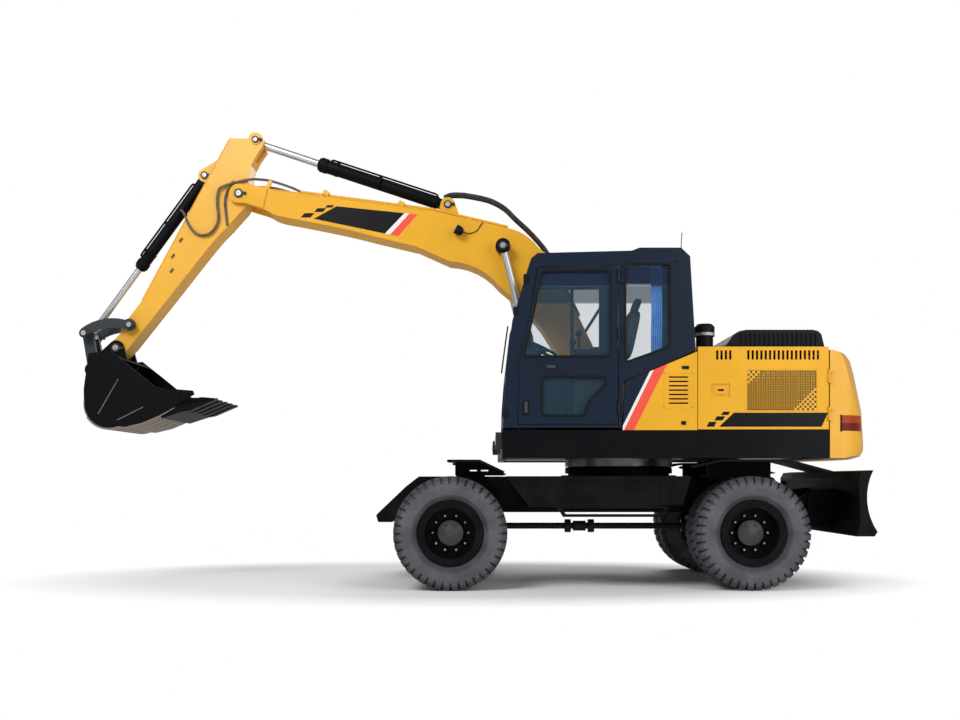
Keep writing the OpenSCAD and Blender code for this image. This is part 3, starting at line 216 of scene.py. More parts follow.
def plate(outline, y0, y1, bevel=3):
    """A side-view outline from y0 to y1: rings at y0, a bevel before y1, and pulled in at y1."""
    outline = np.asarray(outline, float)
    middle = outline.mean(0)
    pulled = outline - bevel * unit(outline - middle)
    step = bevel if y1 > y0 else -bevel
    points = np.stack([at_y(outline, y0), at_y(outline, y1 - step), at_y(pulled, y1)])
    count = len(outline)
    caps = [np.arange(count)[None, ::-1], np.arange(count)[None] + 2 * count]
    return points.reshape(-1, 3), [grid(points, False, True)] + caps


def pad(centre, half, power, tilt=0):
    """A superellipsoid: x, y and z are half sizes times signed powers of two angles' cosine and sine.

    It is turned about the Y axis by the tilt in degrees, and its last ring at each pole is a small cap.
    """
    rings = 33
    around = 64
    pole = math.pi / 2 - 0.02
    a = np.linspace(-pole, pole, rings)[:, None]
    b = np.linspace(0, math.tau, around, endpoint=False)

    def curl(value):
        return np.sign(value) * np.abs(value) ** power

    x = half[0] * curl(np.cos(a)) * curl(np.cos(b))
    y = half[1] * curl(np.cos(a)) * curl(np.sin(b))
    z = half[2] * curl(np.sin(a)) * np.ones_like(b)
    c, s = math.cos(math.radians(tilt)), math.sin(math.radians(tilt))
    points = np.stack([x * c + z * s, y, z * c - x * s], -1) + centre
    caps = [np.arange(around)[None, ::-1], np.arange(around)[None] + (rings - 1) * around]
    return points.reshape(-1, 3), [grid(points, False, True)] + caps


def bars(lows, highs):
    """Square blocks, each from its low corner to its high one."""
    low = np.asarray(lows, float)[:, None]
    high = np.asarray(highs, float)[:, None]
    base = [(0, 0), (1, 0), (1, 1), (0, 1)]
    corner = np.array([(x, y, z) for z in (0, 1) for x, y in base])
    sides = np.array([(0, 3, 2, 1), (4, 5, 6, 7), (0, 1, 5, 4), (1, 2, 6, 5), (2, 3, 7, 6), (3, 0, 4, 7)])
    points = low + corner * (high - low)
    return points.reshape(-1, 3), [(sides + 8 * np.arange(len(points))[:, None, None]).reshape(-1, 4)]


def moved(shape, place):
    return shape[0] + np.asarray(place, float), shape[1]


def other_side(shape):
    """The shape mirrored across the machine, with its faces turned round."""
    return shape[0] * (1, -1, 1), [face[:, ::-1] for face in shape[1]]


def round_on(a, b, y, profile, sides=40):
    """A profile of (radius, distance) pairs turned about the side-view line from a towards b."""
    return moved(lathe(profile, (b[0] - a[0], 0, b[1] - a[1]), sides), (a[0], y, a[1]))


def beside(a, b, y, points):
    """Places (distance, rise) along and square to the side-view line from a towards b."""
    ahead = unit(np.subtract(b, a).astype(float))
    t, up = np.asarray(points, float).T
    x = a[0] + t * ahead[0] - up * ahead[1]
    z = a[1] + t * ahead[1] + up * ahead[0]
    return np.stack([x, np.full(len(x), float(y)), z], -1)


def turned_plate(place, corners, y0, y1, bevel=3):
    """A plate whose outline is given along and up a turned member."""
    outline = place([(along, up, 0) for along, up in corners])[:, [0, 2]]
    return plate(outline, y0, y1, bevel)


def add(name, shape, finish, body=None, smooth=40):
    """The shape as a new piece: faces turned outwards by the sign of its volume, sharp over an angle."""
    points, faces = shape
    points = row(points)
    centred = points - points.mean(0)
    volume = 0.0
    for face in faces:
        p = centred[face]
        volume += (p[:, :1] * np.cross(p[:, 1:-1], p[:, 2:])).sum()
    if volume < 0:
        faces = [face[:, ::-1] for face in faces]
    mesh = bpy.data.meshes.new(name)
    mesh.from_pydata(points.tolist(), [], [corners for face in faces for corners in face.tolist()])
    mesh.shade_smooth()
    mesh.set_sharp_from_angle(angle=math.radians(smooth))
    mesh.materials.append(finish)
    piece = bpy.data.objects.new(name, mesh)
    scene.collection.objects.link(piece)
    if body:
        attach(piece, body)
    return piece


# Finishes


class Signal:
    """A socket in a material's tree. Arithmetic on it adds Math nodes and gives a new Signal."""

    def __init__(self, tree, socket=None):
        self.tree = tree
        self.socket = socket

    def node(self, kind, settings=None, inputs=None, out=0):
        """A node of one type: its settings come first, then the values or links of its sockets."""
        made = self.tree.nodes.new(kind)
        for key, value in (settings or {}).items():
            setattr(made, key, value)
        for key, value in (inputs or {}).items():
            if isinstance(value, Signal):
                self.tree.links.new(value.socket, made.inputs[key])
            else:
                made.inputs[key].default_value = value
        return Signal(self.tree, made.outputs[out])

    def math(self, operation, first, second=0.0):
        return self.node("ShaderNodeMath", {"operation": operation}, {0: first, 1: second})

    def __add__(self, other):
        return self.math("ADD", self, other)

    __radd__ = __add__

    def __sub__(self, other):
        return self.math("SUBTRACT", self, other)

    def __rsub__(self, other):
        return self.math("SUBTRACT", other, self)

    def __mul__(self, other):
        return self.math("MULTIPLY", self, other)

    __rmul__ = __mul__

    def __truediv__(self, other):
        return self.math("DIVIDE", self, other)

    def __gt__(self, other):
        return self.math("GREATER_THAN", self, other)

    def __lt__(self, other):
        return self.math("LESS_THAN", self, other)

    def least(self, other):
        return self.math("MINIMUM", self, other)

    def most(self, other):
        return self.math("MAXIMUM", self, other)

    def size(self):
        return self.math("ABSOLUTE", self)

    def wave(self):
        return self.math("SINE", self)

    def rise(self, low, high):
        """0 below low, 1 above high, and even between them."""
        return self.node("ShaderNodeMapRange", {}, {0: self, 1: low, 2: high, 3: 0.0, 4: 1.0})

    def mix(self, first, second):
        """The first colour where this is 0 and the second where it is 1."""
        return self.node("ShaderNodeMix", {"data_type": "RGBA"}, {0: self, 6: first, 7: second}, 2)


class Surface(Signal):
    """Where a point of the surface is, in metres of the shared frame, and the noise there."""

    def __init__(self, tree):
        super().__init__(tree)
        self.place = self.node("ShaderNodeTexCoord", out="Object")
        self.x, self.y, self.z = (
            self.node("ShaderNodeSeparateXYZ", {}, {0: self.place}, axis) for axis in range(3))

    def noise(self, scale, detail=3.0, stretch=None):
        place = self.place
        if stretch:
            place = self.node("ShaderNodeMapping", {}, {"Vector": place, "Scale": stretch})
        return self.node("ShaderNodeTexNoise", {}, {"Vector": place, "Scale": scale, "Detail": detail})

    def bump(self, height, distance, strength=1.0):
        return self.node("ShaderNodeBump", {}, {"Height": height, "Distance": distance, "Strength": strength})

    def inside(self, corners):
        """1 inside a convex side-view outline given by its corners in millimetres.

        Each edge is crossed with the offset of the point from the edge's start. The corners run so that
        every product is positive inside, so the least of them is compared with 0.
        """
        p = [((a - SLEW_BACK) / 1000, b / 1000) for a, b in corners]
        least = None
        for (ax, az), (bx, bz) in zip(p, p[1:] + p[:1]):
            side = (self.x - ax) * (az - bz) + (self.z - az) * (bx - ax)
            least = least.least(side) if least else side
        return least > 0


def shade(red, green, blue):
    return (red, green, blue, 1.0)


def finish(name, looks, **sockets):
    """A Principled material: fixed numbers on some sockets, and what looks(surface) gives on others."""
    material = bpy.data.materials.new(name)
    material.use_nodes = True
    tree = material.node_tree
    shader = tree.nodes["Principled BSDF"]
    for key, value in sockets.items():
        shader.inputs[key.replace("_", " ")].default_value = value
    for key, value in looks(Surface(tree)).items():
        tree.links.new(value.socket, shader.inputs[key])
    return material


YELLOW = shade(0.86, 0.44, 0.028)
NAVY = shade(0.007, 0.015, 0.033)
BLACK = shade(0.0035, 0.0038, 0.0055)
RED = shade(0.87, 0.10, 0.065)
WHITE = shade(0.82, 0.82, 0.80)


def paint(name, colour, rough, marks=None, dust=0.05, coat=0.12, shine=0.4):
    """Sprayed paint: slow tone changes, a fine orange-peel bump, dust low down, and marks over it, some of
    them painted shade.
    """
    dark = shade(*(0.90 * value for value in colour[:3]))
    dirt = shade(0.20, 0.17, 0.13)

    def looks(surface):
        tone = surface.noise(1.7, 4.0).rise(0.35, 0.65)
        base = tone.mix(dark, colour)
        for mask, mark in marks(surface) if marks else []:
            base = mask.mix(base, mark)
        film = surface.noise(5.0, 6.0).rise(0.45, 0.75) * (1.0 - surface.z.rise(0.2, 1.7)) * dust
        grain = surface.noise(420.0, 1.0)
        return {
            "Base Color": film.mix(base, dirt),
            "Roughness": surface.noise(9.0, 4.0) * 0.14 + (rough - 0.07) + film,
            "Normal": surface.bump(grain, 0.0006, 0.25),
        }

    return finish(name, looks, Coat_Weight=coat, Coat_Roughness=0.12, Specular_IOR_Level=shine)


BOOM_BAND = [(2910, 3841), (2213, 3770), (2414, 3559), (3146, 3712)]
BOOM_CHECKS = [(2981, 3839, 36, 13), (3080, 3801, 46, 20), (3209, 3747, 51, 23)]


def boom_marks(surface):
    """The black band with a red and a white edge behind it, and three black checks ahead of it."""
    front_top, rear_top, rear_low, front_low = BOOM_BAND
    marks = []
    for back, colour in ((137, RED), (52, WHITE)):
        edge_top = (rear_top[0] - back, rear_top[1] - back * 0.1)
        edge_low = (rear_low[0] - back, rear_low[1] - back * 0.21)
        marks.append((surface.inside([front_top, edge_top, edge_low, front_low]), colour))
    marks.append((surface.inside(BOOM_BAND), BLACK))
    for x, z, half, up in BOOM_CHECKS:
        lean = up * 0.9
        corners = [
            (x + half - lean, z + up), (x - half - lean, z + up),
            (x - half + lean, z - up), (x + half + lean, z - up),
        ]
        marks.append((surface.inside(corners), BLACK))
    return marks


# Half widths, in metres, within which a door's slots and the sheet behind its grille get painted shade: they
# are black
PAINTED_SHADE_SLOT_Y = 1.2225
PAINTED_SHADE_GRILLE_Y = 1.2262
# The grille's opening in the engine door
GRILLE_X = (-1663, -1018)
GRILLE_Z = (1661, 2035)


def door_marks_and_shade(surface):
    """The black band along the foot of the engine door and three checks ahead of it, with painted shade:
    black on the sheet behind the grille and in the slots.
    """
    bands = [
        [(-898, 1643), (-1765, 1643), (-1705, 1513), (-762, 1513)],
        [(-800, 1652), (-866, 1652), (-845, 1621), (-779, 1621)],
        [(-742, 1610), (-818, 1610), (-794, 1571), (-718, 1571)],
        [(-670, 1559), (-741, 1559), (-717, 1513), (-646, 1513)],
    ]
    marks = [(surface.inside(corners), BLACK) for corners in bands]
    (rear, front), (low, high) = GRILLE_X, GRILLE_Z
    grille = surface.inside([(front, low), (front, high), (rear, high), (rear, low)])
    # Painted shade: the sheet seen through the grille is black
    marks.append((grille * (surface.y.size() < PAINTED_SHADE_GRILLE_Y), BLACK))
    # Painted shade: the door's slots, set in deeper than its face, are black
    marks.append((surface.y.size() < PAINTED_SHADE_SLOT_Y, BLACK))
    return marks


def panel_marks_and_shade(surface):
    """The white and the red stripe that lean back across the side panel, with navy ahead of them, and painted
    shade, black, in its recesses.
    """
    return [
        (surface.inside([(600, 1400), (600, 2300), (-390, 2300), (60, 1400)]), RED),
        (surface.inside([(600, 1400), (600, 2300), (-292, 2300), (152, 1400)]), WHITE),
        (surface.inside([(600, 1400), (600, 2300), (-264, 2300), (183, 1400)]), NAVY),
        # Painted shade: the panel is black where it lies deeper than the grille's sheet
        (surface.y < PAINTED_SHADE_GRILLE_Y, BLACK),
    ]


yellow_paint = paint("yellow_paint", YELLOW, 0.42)
boom_paint = paint("boom_paint", YELLOW, 0.42, boom_marks, coat=0.03, shine=0.16)
door_paint = paint("door_paint", YELLOW, 0.42, door_marks_and_shade, coat=0.03, shine=0.16)
panel_paint = paint("panel_paint", YELLOW, 0.42, panel_marks_and_shade, coat=0.03, shine=0.16)
navy_paint = paint("navy_paint", NAVY, 0.34, coat=0.04, shine=0.22)
black_paint = paint("black_paint", BLACK, 0.48, coat=0.0, shine=0.09)
platform_paint = paint("platform_paint", BLACK, 0.34, coat=0.02, shine=0.09)
hub_grey = paint("hub_grey", shade(0.06, 0.061, 0.064), 0.42, coat=0.0, shine=0.35)
worn_paint = paint("worn_paint", shade(0.11, 0.080, 0.058), 0.5, coat=0.0, shine=0.3)
weld_metal = paint("weld_metal", shade(0.17, 0.155, 0.14), 0.5, coat=0.0, shine=0.3)
worn_floor = paint("worn_floor", shade(0.23, 0.19, 0.15), 0.55, coat=0.0, shine=0.3)
link_grey = paint("link_grey", shade(0.035, 0.043, 0.050), 0.45, coat=0.0, shine=0.3)


def steel_looks(surface):
    """Machined steel: fine scratches that run round and along it, with darker oily patches."""
    scratch = surface.noise(60.0, 4.0, (1.0, 14.0, 1.0))
    oil = surface.noise(7.0, 4.0).rise(0.4, 0.7)
    return {
        "Base Color": oil.mix(shade(0.30, 0.31, 0.32), shade(0.17, 0.17, 0.18)),
        "Roughness": scratch * 0.25 + 0.2,
        "Normal": surface.bump(scratch, 0.0004, 0.3),
    }


def pin_looks(surface):
    """Bare pin ends: bright turned steel, greased and dark in patches."""
    grease = surface.noise(22.0, 4.0).rise(0.45, 0.7)
    return {
        "Base Color": grease.mix(shade(0.52, 0.51, 0.51), shade(0.20, 0.19, 0.19)),
        "Roughness": grease * 0.2 + 0.34,
    }


def chrome_looks(surface):
    """Hard chrome: nearly a mirror, with hair-fine marks along the rod."""
    mark = surface.noise(9.0, 3.0)
    return {
        "Base Color": mark.rise(0.3, 0.8).mix(shade(0.74, 0.76, 0.80), shade(0.64, 0.66, 0.70)),
        "Roughness": mark * 0.08 + 0.27,
    }


def cast_looks(surface):
    """Rough black casting: a coarse grain under thin paint, greyer on its high spots."""
    grain = surface.noise(130.0, 5.0)
    return {
        "Base Color": grain.rise(0.45, 0.8).mix(shade(0.010, 0.010, 0.011), shade(0.030, 0.030, 0.031)),
        "Roughness": grain * 0.3 + 0.42,
        "Normal": surface.bump(grain, 0.002, 0.4),
    }


def rubber_looks(surface):
    """Tyre rubber: blue-grey bloom on the walls, darker towards the tread and the rim, with a fine pebble.

    The distance from the nearer axle, squared, tells wall, tread and bead apart.
    """
    bloom = surface.noise(6.0, 5.0).rise(0.35, 0.7)
    grain = surface.noise(300.0, 2.0)
    middle = sum(AXLES.values()) / 2000
    along = (surface.x - (middle - SLEW_BACK / 1000)).size() - abs(AXLES["front"] / 1000 - middle)
    up = surface.z - AXLE_Z / 1000
    far = along * along + up * up
    wall = far.rise(0.118, 0.135) * (1.0 - far.rise(0.222, 0.243))
    base = bloom.mix(shade(0.040, 0.042, 0.047), shade(0.075, 0.078, 0.088))
    return {
        "Base Color": wall.mix(base, bloom.mix(shade(0.075, 0.078, 0.087), shade(0.120, 0.124, 0.138))),
        "Roughness": grain * 0.2 + 0.6,
        "Normal": surface.bump(grain, 0.001, 0.35),
    }


def grey_hose_looks(surface):
    """Sleeve of the stick hoses: brown-grey woven cloth, darker where it is oily."""
    weave = (surface.x * 1400.0).wave() * (surface.z * 1400.0).wave()
    oil = surface.noise(11.0, 3.0).rise(0.4, 0.7)
    return {
        "Base Color": oil.mix(shade(0.135, 0.115, 0.090), shade(0.060, 0.054, 0.048)),
        "Roughness": oil * 0.15 + 0.6,
        "Normal": surface.bump(weave, 0.0005, 0.4),
    }


def hose_looks(surface):
    """Hose cover: black rubber with a faint cloth print and a dusty bloom."""
    weave = (surface.x * 900.0).wave() * (surface.z * 900.0).wave()
    bloom = surface.noise(18.0, 3.0).rise(0.4, 0.7)
    return {
        "Base Color": bloom.mix(shade(0.014, 0.014, 0.016), shade(0.035, 0.036, 0.040)),
        "Roughness": bloom * 0.15 + 0.42,
        "Normal": surface.bump(weave, 0.0004, 0.3),
    }


def plastic_looks(surface):
    """Moulded plastic: even charcoal with a leathery grain."""
    grain = surface.noise(240.0, 3.0)
    return {
        "Base Color": grain.rise(0.3, 0.7).mix(shade(0.0045, 0.005, 0.007), shade(0.009, 0.010, 0.012)),
        "Roughness": grain * 0.2 + 0.4,
        "Normal": surface.bump(grain, 0.0008, 0.4),
    }


def lamp_looks(surface):
    """Lamp plastic: red below and amber above on the tail, clear at the front, with fine ribs."""
    tail = surface.x < -3.2
    amber = surface.z > 1.55
    rib = (surface.z * 900.0).wave()
    lens = amber.mix(shade(0.17, 0.004, 0.004), shade(0.38, 0.050, 0.003))
    return {
        "Base Color": tail.mix(shade(0.03, 0.03, 0.032), lens),
        "Roughness": rib * 0.05 + 0.3,
        "Normal": surface.bump(rib, 0.0015, 0.4),
    }


def lens_looks(surface):
    """Lamp glass: pale with moulded flutes."""
    flute = (surface.y * 420.0).wave()
    return {
        "Base Color": flute.rise(-1.0, 1.0).mix(shade(0.60, 0.64, 0.66), shade(0.80, 0.82, 0.82)),
        "Roughness": flute * 0.03 + 0.1,
        "Normal": surface.bump(flute, 0.002, 0.6),
    }


def glass_looks(surface):
    """Cab glass: a thin grey-blue film, with a dark blue sun band along the top."""
    band = surface.z.rise(2.80, 2.82) * (surface.z < 2.98)
    smear = surface.noise(3.0, 3.0)
    return {
        "Base Color": band.mix(shade(0.09, 0.19, 0.28), shade(0.012, 0.030, 0.075)),
        "Alpha": band * 0.45 + 0.09 + smear * 0.05,
        "Roughness": smear * 0.05 + 0.02,
    }


def seat_looks(surface):
    """Seat cloth: charcoal weave with darker channels along it."""
    weave = (surface.x * 1900.0).wave() * (surface.y * 1900.0).wave()
    channel = (surface.y * 95.0).wave().rise(0.86, 0.98)
    return {
        "Base Color": channel.mix(shade(0.040, 0.041, 0.046), shade(0.014, 0.014, 0.016)),
        "Roughness": weave * 0.06 + 0.84,
        "Normal": surface.bump(weave * 0.3 - channel, 0.003, 0.5),
    }


def curtain_looks(surface):
    """Curtain cloth: clear blue with a fine weave and slightly faded folds."""
    weave = (surface.x * 2600.0).wave() * (surface.z * 2600.0).wave()
    fade = surface.noise(14.0, 3.0).rise(0.35, 0.7)
    return {
        "Base Color": fade.mix(shade(0.10, 0.33, 0.80), shade(0.20, 0.47, 0.90)),
        "Roughness": weave * 0.05 + 0.85,
        "Normal": surface.bump(weave, 0.0005, 0.4),
    }


bearing_steel = finish("bearing_steel", steel_looks, Metallic=1.0)
rod_chrome = finish("rod_chrome", chrome_looks, Metallic=1.0)
pin_steel = finish("pin_steel", pin_looks, Metallic=0.35)
cast_parts = finish("cast_parts", cast_looks, Specular_IOR_Level=0.3)
tyre_rubber = finish("tyre_rubber", rubber_looks, Specular_IOR_Level=0.25)
hose_rubber = finish("hose_rubber", hose_looks)
hose_grey = finish("hose_grey", grey_hose_looks)
black_plastic = finish("black_plastic", plastic_looks, Specular_IOR_Level=0.14)
lamp_plastic = finish("lamp_plastic", lamp_looks, Specular_IOR_Level=0.25)
lamp_lens = finish("lamp_lens", lens_looks, Coat_Weight=0.6)
cab_glass = finish("cab_glass", glass_looks, IOR=1.5)
seat_fabric = finish("seat_fabric", seat_looks)
curtain_fabric = finish("curtain_fabric", curtain_looks)

DRESS = {
    "yellow_paint": yellow_paint,
    "navy_paint": navy_paint,
    "black_paint": black_paint,
    "link_grey": link_grey,
    "bearing_steel": bearing_steel,
    "cast_parts": cast_parts,
    "rod_chrome": rod_chrome,
    "tyre_rubber": tyre_rubber,
    "black_plastic": black_plastic,
    "lamp_plastic": lamp_plastic,
    "cab_glass": cab_glass,
    "seat_fabric": seat_fabric,
    "curtain_fabric": curtain_fabric,
}
OWN = {
    "boom": boom_paint,
    "left_door": door_paint,
    "right_door": door_paint,
    "left_panel": panel_paint,
    "platform": platform_paint,
    "bearing_lower": black_paint,
}
for part in frame["record"]["subparts"]:
    for holder in nodes[part["node"]].material_slots:
        holder.material = OWN.get(part["node"], DRESS[part["material_slot"]])

# Camera, floor and light

camera = bpy.data.objects.new("camera", bpy.data.cameras.new("camera"))
camera.location = (-0.153, 10.745, 1.024)
camera.rotation_euler = (math.pi / 2, 0, math.pi)
camera.data.lens = 38.8
camera.data.shift_y = 0.125
camera.data.clip_end = 200
scene.collection.objects.link(camera)
scene.camera = camera

world = bpy.data.worlds.new("studio")
world.use_nodes = True
scene.world = world
sky = Signal(world.node_tree)
seen = sky.node("ShaderNodeLightPath", out="Is Camera Ray").most(
    sky.node("ShaderNodeLightPath", out="Is Transmission Ray"))
background = world.node_tree.nodes["Background"]
background.inputs["Color"].default_value = (1.0, 1.0, 1.0, 1.0)
world.node_tree.links.new((seen * 0.64 + 0.36).socket, background.inputs["Strength"])


def lamp(name, place, aim, power, size):
    """A square area lamp at a place, turned to face a point."""
    light = bpy.data.lights.new(name, "AREA")
    light.energy = power
    light.size = size
    made = bpy.data.objects.new(name, light)
    direction = np.subtract(aim, place)
    made.location = place
    yaw = math.atan2(direction[1], direction[0])
    made.rotation_euler = (math.acos(-direction[2] / np.linalg.norm(direction)), 0, yaw - math.pi / 2)
    scene.collection.objects.link(made)


lamp("key_light", (5.0, 8.0, 9.0), (0, 0, 1.5), 730, 5.0)
lamp("fill_light", (-7.0, 7.0, 4.0), (0, 0, 1.4), 270, 6.0)
lamp("back_light", (-3.0, -9.0, 8.0), (0, 0, 1.6), 430, 6.0)

floor_mesh = bpy.data.meshes.new("floor")
floor_mesh.from_pydata([(-60, -60, 0), (60, -60, 0), (60, 60, 0), (-60, 60, 0)], [], [(0, 1, 2, 3)])
floor = bpy.data.objects.new("floor", floor_mesh)
scene.collection.objects.link(floor)


def floor_finish():
    """Pale floor that holds the shadow near the machine and turns plain white to the camera farther out."""
    material = finish("floor", lambda surface: {
        "Base Color": surface.noise(0.8, 3.0).mix(shade(0.86, 0.86, 0.86), shade(0.90, 0.90, 0.90)),
    }, Roughness=0.9, Specular_IOR_Level=0.0)
    tree = material.node_tree
    surface = Surface(tree)
    away = (surface.x * surface.x * 0.045 + surface.y * surface.y * 0.16).rise(0.45, 1.0)
    seen = surface.node("ShaderNodeLightPath", out="Is Camera Ray")
    white = surface.node("ShaderNodeEmission", {}, {"Strength": 1.0})
    matt = Signal(tree, tree.nodes["Principled BSDF"].outputs[0])
    mixed = surface.node("ShaderNodeMixShader", {}, {0: away * seen, 1: matt, 2: white})
    tree.links.new(mixed.socket, tree.nodes["Material Output"].inputs[0])
    return material


floor_mesh.materials.append(floor_finish())

# Hoses


def hose(name, points, diameter, cover, bodies):
    """A hose along a smooth path, riding one body, or, when it spans two, left fixed in place with its
    transform baked.
    """
    line = smooth_path(points, 80)
    alone = isinstance(bodies, str)
    piece = add(name, tube(line, diameter / 2), cover, bodies if alone else None)
    if not alone:
        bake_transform(piece)
    return piece


for name, side in (("right", -1), ("left", 1)):
    y = BOOM_Y + 45 * side
    run = on_boom([
        (2470, 1040, y), (2425, 1098, y), (2340, 1150, y), (2242, 1192, y), (2045, 1252, y), (1867, 1257, y),
        (1705, 1216, y), (1540, 1178, y), (1384, 1130, y), (1240, 1068, y), (1050, 950, y), (875, 826, y),
        (640, 664, y),
    ])
    hose(f"boom_hose_{name}", run, 38, hose_rubber, ("boom", "stick_barrel"))

    nose = on_boom([
        (3760, 341, BOOM_Y + 118 * side), (3900, 325, BOOM_Y + 122 * side), (4083, 282, BOOM_Y + 135 * side),
        (4187, 240, BOOM_Y + 142 * side), (4286, 182, BOOM_Y + 148 * side), (4400, 75, BOOM_Y + 154 * side),
    ])
    fall = on_stick([
        (71, 190, BOOM_Y + 158 * side), (165, 158, BOOM_Y + 158 * side), (249, 90, BOOM_Y + 156 * side),
        (320, 20, BOOM_Y + 154 * side), (410, -20, BOOM_Y + 153 * side), (512, -14, BOOM_Y + 152 * side),
        (580, 50, BOOM_Y + 152 * side), (592, 140, BOOM_Y + 150 * side), (560, 240, BOOM_Y + 140 * side),
        (515, 330, BOOM_Y + 105 * side), (500, 400, BOOM_Y + 60 * side),
    ])
    around_nose = np.concatenate([nose, fall])
    hose(f"stick_hose_{name}", around_nose, 26, hose_grey, ("boom", "stick"))
    short = on_stick([
        (-70, 132, BOOM_Y + 142 * side), (-20, 130, BOOM_Y + 144 * side), (40, 122, BOOM_Y + 146 * side),
        (110, 96, BOOM_Y + 148 * side), (176, 50, BOOM_Y + 148 * side), (240, -12, BOOM_Y + 147 * side),
        (290, -62, BOOM_Y + 146 * side), (330, -100, BOOM_Y + 144 * side),
    ])
    hose(f"link_hose_{name}", short, 24, hose_grey, "stick")

wire = on_boom([
    (2150, 779, BOOM_Y + 204), (2100, 792, BOOM_Y + 194), (2030, 822, BOOM_Y + 178),
    (1985, 880, BOOM_Y + 177), (1979, 930, BOOM_Y + 177), (1976, 962, BOOM_Y + 176),
    (1973, 985, BOOM_Y + 174),
])
hose("lamp_wire", wire, 10, hose_rubber, "boom")

# Tyres


def tyre(x, y):
    """A tyre about (x, axle height) at y: a profile turned round, with tread cut along its normal.

    The tread has cross grooves, at a fixed share of each pitch, outside two grooves that run round the
    tyre. The pitch leads on one half and lags on the other, so that the lugs of the two shoulders stand
    half a pitch apart.
    """
    crown = np.array([0, 12, 27, 30, 33, 39, 42, 45, 62, 82, 100, 108])
    crown_r = 530 - 3 * (crown / 100) ** 2
    wall = np.array([
        (522, 115), (513, 121), (503, 125.5), (492, 128), (489, 131), (480, 133), (474, 132.5),
        (452, 137), (428, 139), (406, 139), (382, 136.5), (362, 132.5), (354, 133.5), (347, 131),
        (331, 121), (318, 112), (308, 98), (303, 84),
    ])
    half_r = np.concatenate([crown_r, wall[:, 0]])
    half_w = np.concatenate([crown, wall[:, 1]])
    radius = np.concatenate([half_r[:0:-1], half_r])
    width = np.concatenate([-half_w[:0:-1], half_w])
    normal = unit(np.stack([np.gradient(width), -np.gradient(radius)], -1))
    pitches = 40
    share = np.array([0, 0.15, 0.30, 0.34, 0.37, 0.63, 0.66, 0.70, 0.85])
    cut = np.interp(share, [0.34, 0.37, 0.63, 0.66], [0, 1, 1, 0])
    turn = (np.arange(pitches)[:, None] + share).reshape(-1, 1)
    cut = np.tile(cut, pitches)[:, None]
    out = np.abs(width)
    cross = np.interp(out, [43, 46], [0, 1]) * np.interp(radius, [460, 474], [0, 1])
    rounds = np.interp(out, [29, 31, 38, 43], [0, 1, 1, 0]) * (radius > 480)
    groove = 24
    depth = groove * np.maximum(cut * cross, 0.8 * rounds)
    angle = (turn + 0.25 * np.tanh(width / 45) + 0.0016 * width) * math.tau / pitches
    reach = radius - depth * normal[:, 0]
    over = width - depth * normal[:, 1]
    points = np.stack([x + reach * np.cos(angle), y + over, AXLE_Z + reach * np.sin(angle)], -1)
    return points.reshape(-1, 3), [grid(points, True, True)]


def bolt_ring(x, y, out, ring_r, count, profile, sides=12):
    """Bolt heads on a circle round an axle, standing out from y."""
    around = ring(ring_r, count)
    spots = np.stack([x + around[:, 0], np.full(count, y), AXLE_Z + around[:, 1]], -1)
    return copies(lathe(profile, (0, out, 0), sides), spots)


for end, x in AXLES.items():
    for side, name in ((1, "left"), (-1, "right")):
        body = f"wheel_{end}_{name}"
        twin = joined(tyre(x, side * TYRE_OUT_Y), tyre(x, side * TYRE_IN_Y))
        treads = add(f"treads_{end}_{name}", twin, tyre_rubber, body, 30)
        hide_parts(f"tyres_{end}_{name}")
        face = side * HUB_FACE_Y
        cap = lathe([(120, -2), (120, 5), (113, 10), (46, 10), (40, 15), (8, 15)], (0, side, 0), 48)
        cap = moved(cap, (x, face, AXLE_Z))
        heads = bolt_ring(x, face, side, 84, 6, [(13, 6), (13, 18), (10, 21)], 6)
        add(f"hub_trim_{end}_{name}", joined(cap, heads), hub_grey, body)
        studs = bolt_ring(x, face - side * 25, side, 167.5, 10, [(11, -3), (11, 1), (8, 4)], 20)
        add(f"stud_ends_{end}_{name}", studs, pin_steel, body)

# Pins


def pin_end(x, z, y, r, out):
    """One end of a pin: a chamfered collar round its face, on a flat keeper held by a bolt behind it."""
    disc = lathe([(r, -3), (r, 6), (r - 4, 10), (r * 0.68, 10), (r * 0.66, 5)], (0, out, 0), 40)
    bolt = lathe([(10, -3), (10, 12), (7, 15)], (0, out, 0), 6)
    tab = rounded([(-r - 34, -16), (-r * 0.3, -16), (-r * 0.3, 16), (-r - 34, 16)], 8, 4)
    keeper = plate(tab, -3 * out, 6 * out, 2)
    return joined(moved(disc, (x, y, z)), moved(bolt, (x - r - 18, y, z)), moved(keeper, (x, y, z)))


def pin_face(x, z, y, r, out):
    """The turned face of a pin, with a chamfer and a centre hole."""
    profile = [(r * 0.66, -3), (r * 0.66, 9), (r * 0.60, 13), (r * 0.16, 13), (r * 0.10, 8)]
    return moved(lathe(profile, (0, out, 0), 40), (x, y, z))


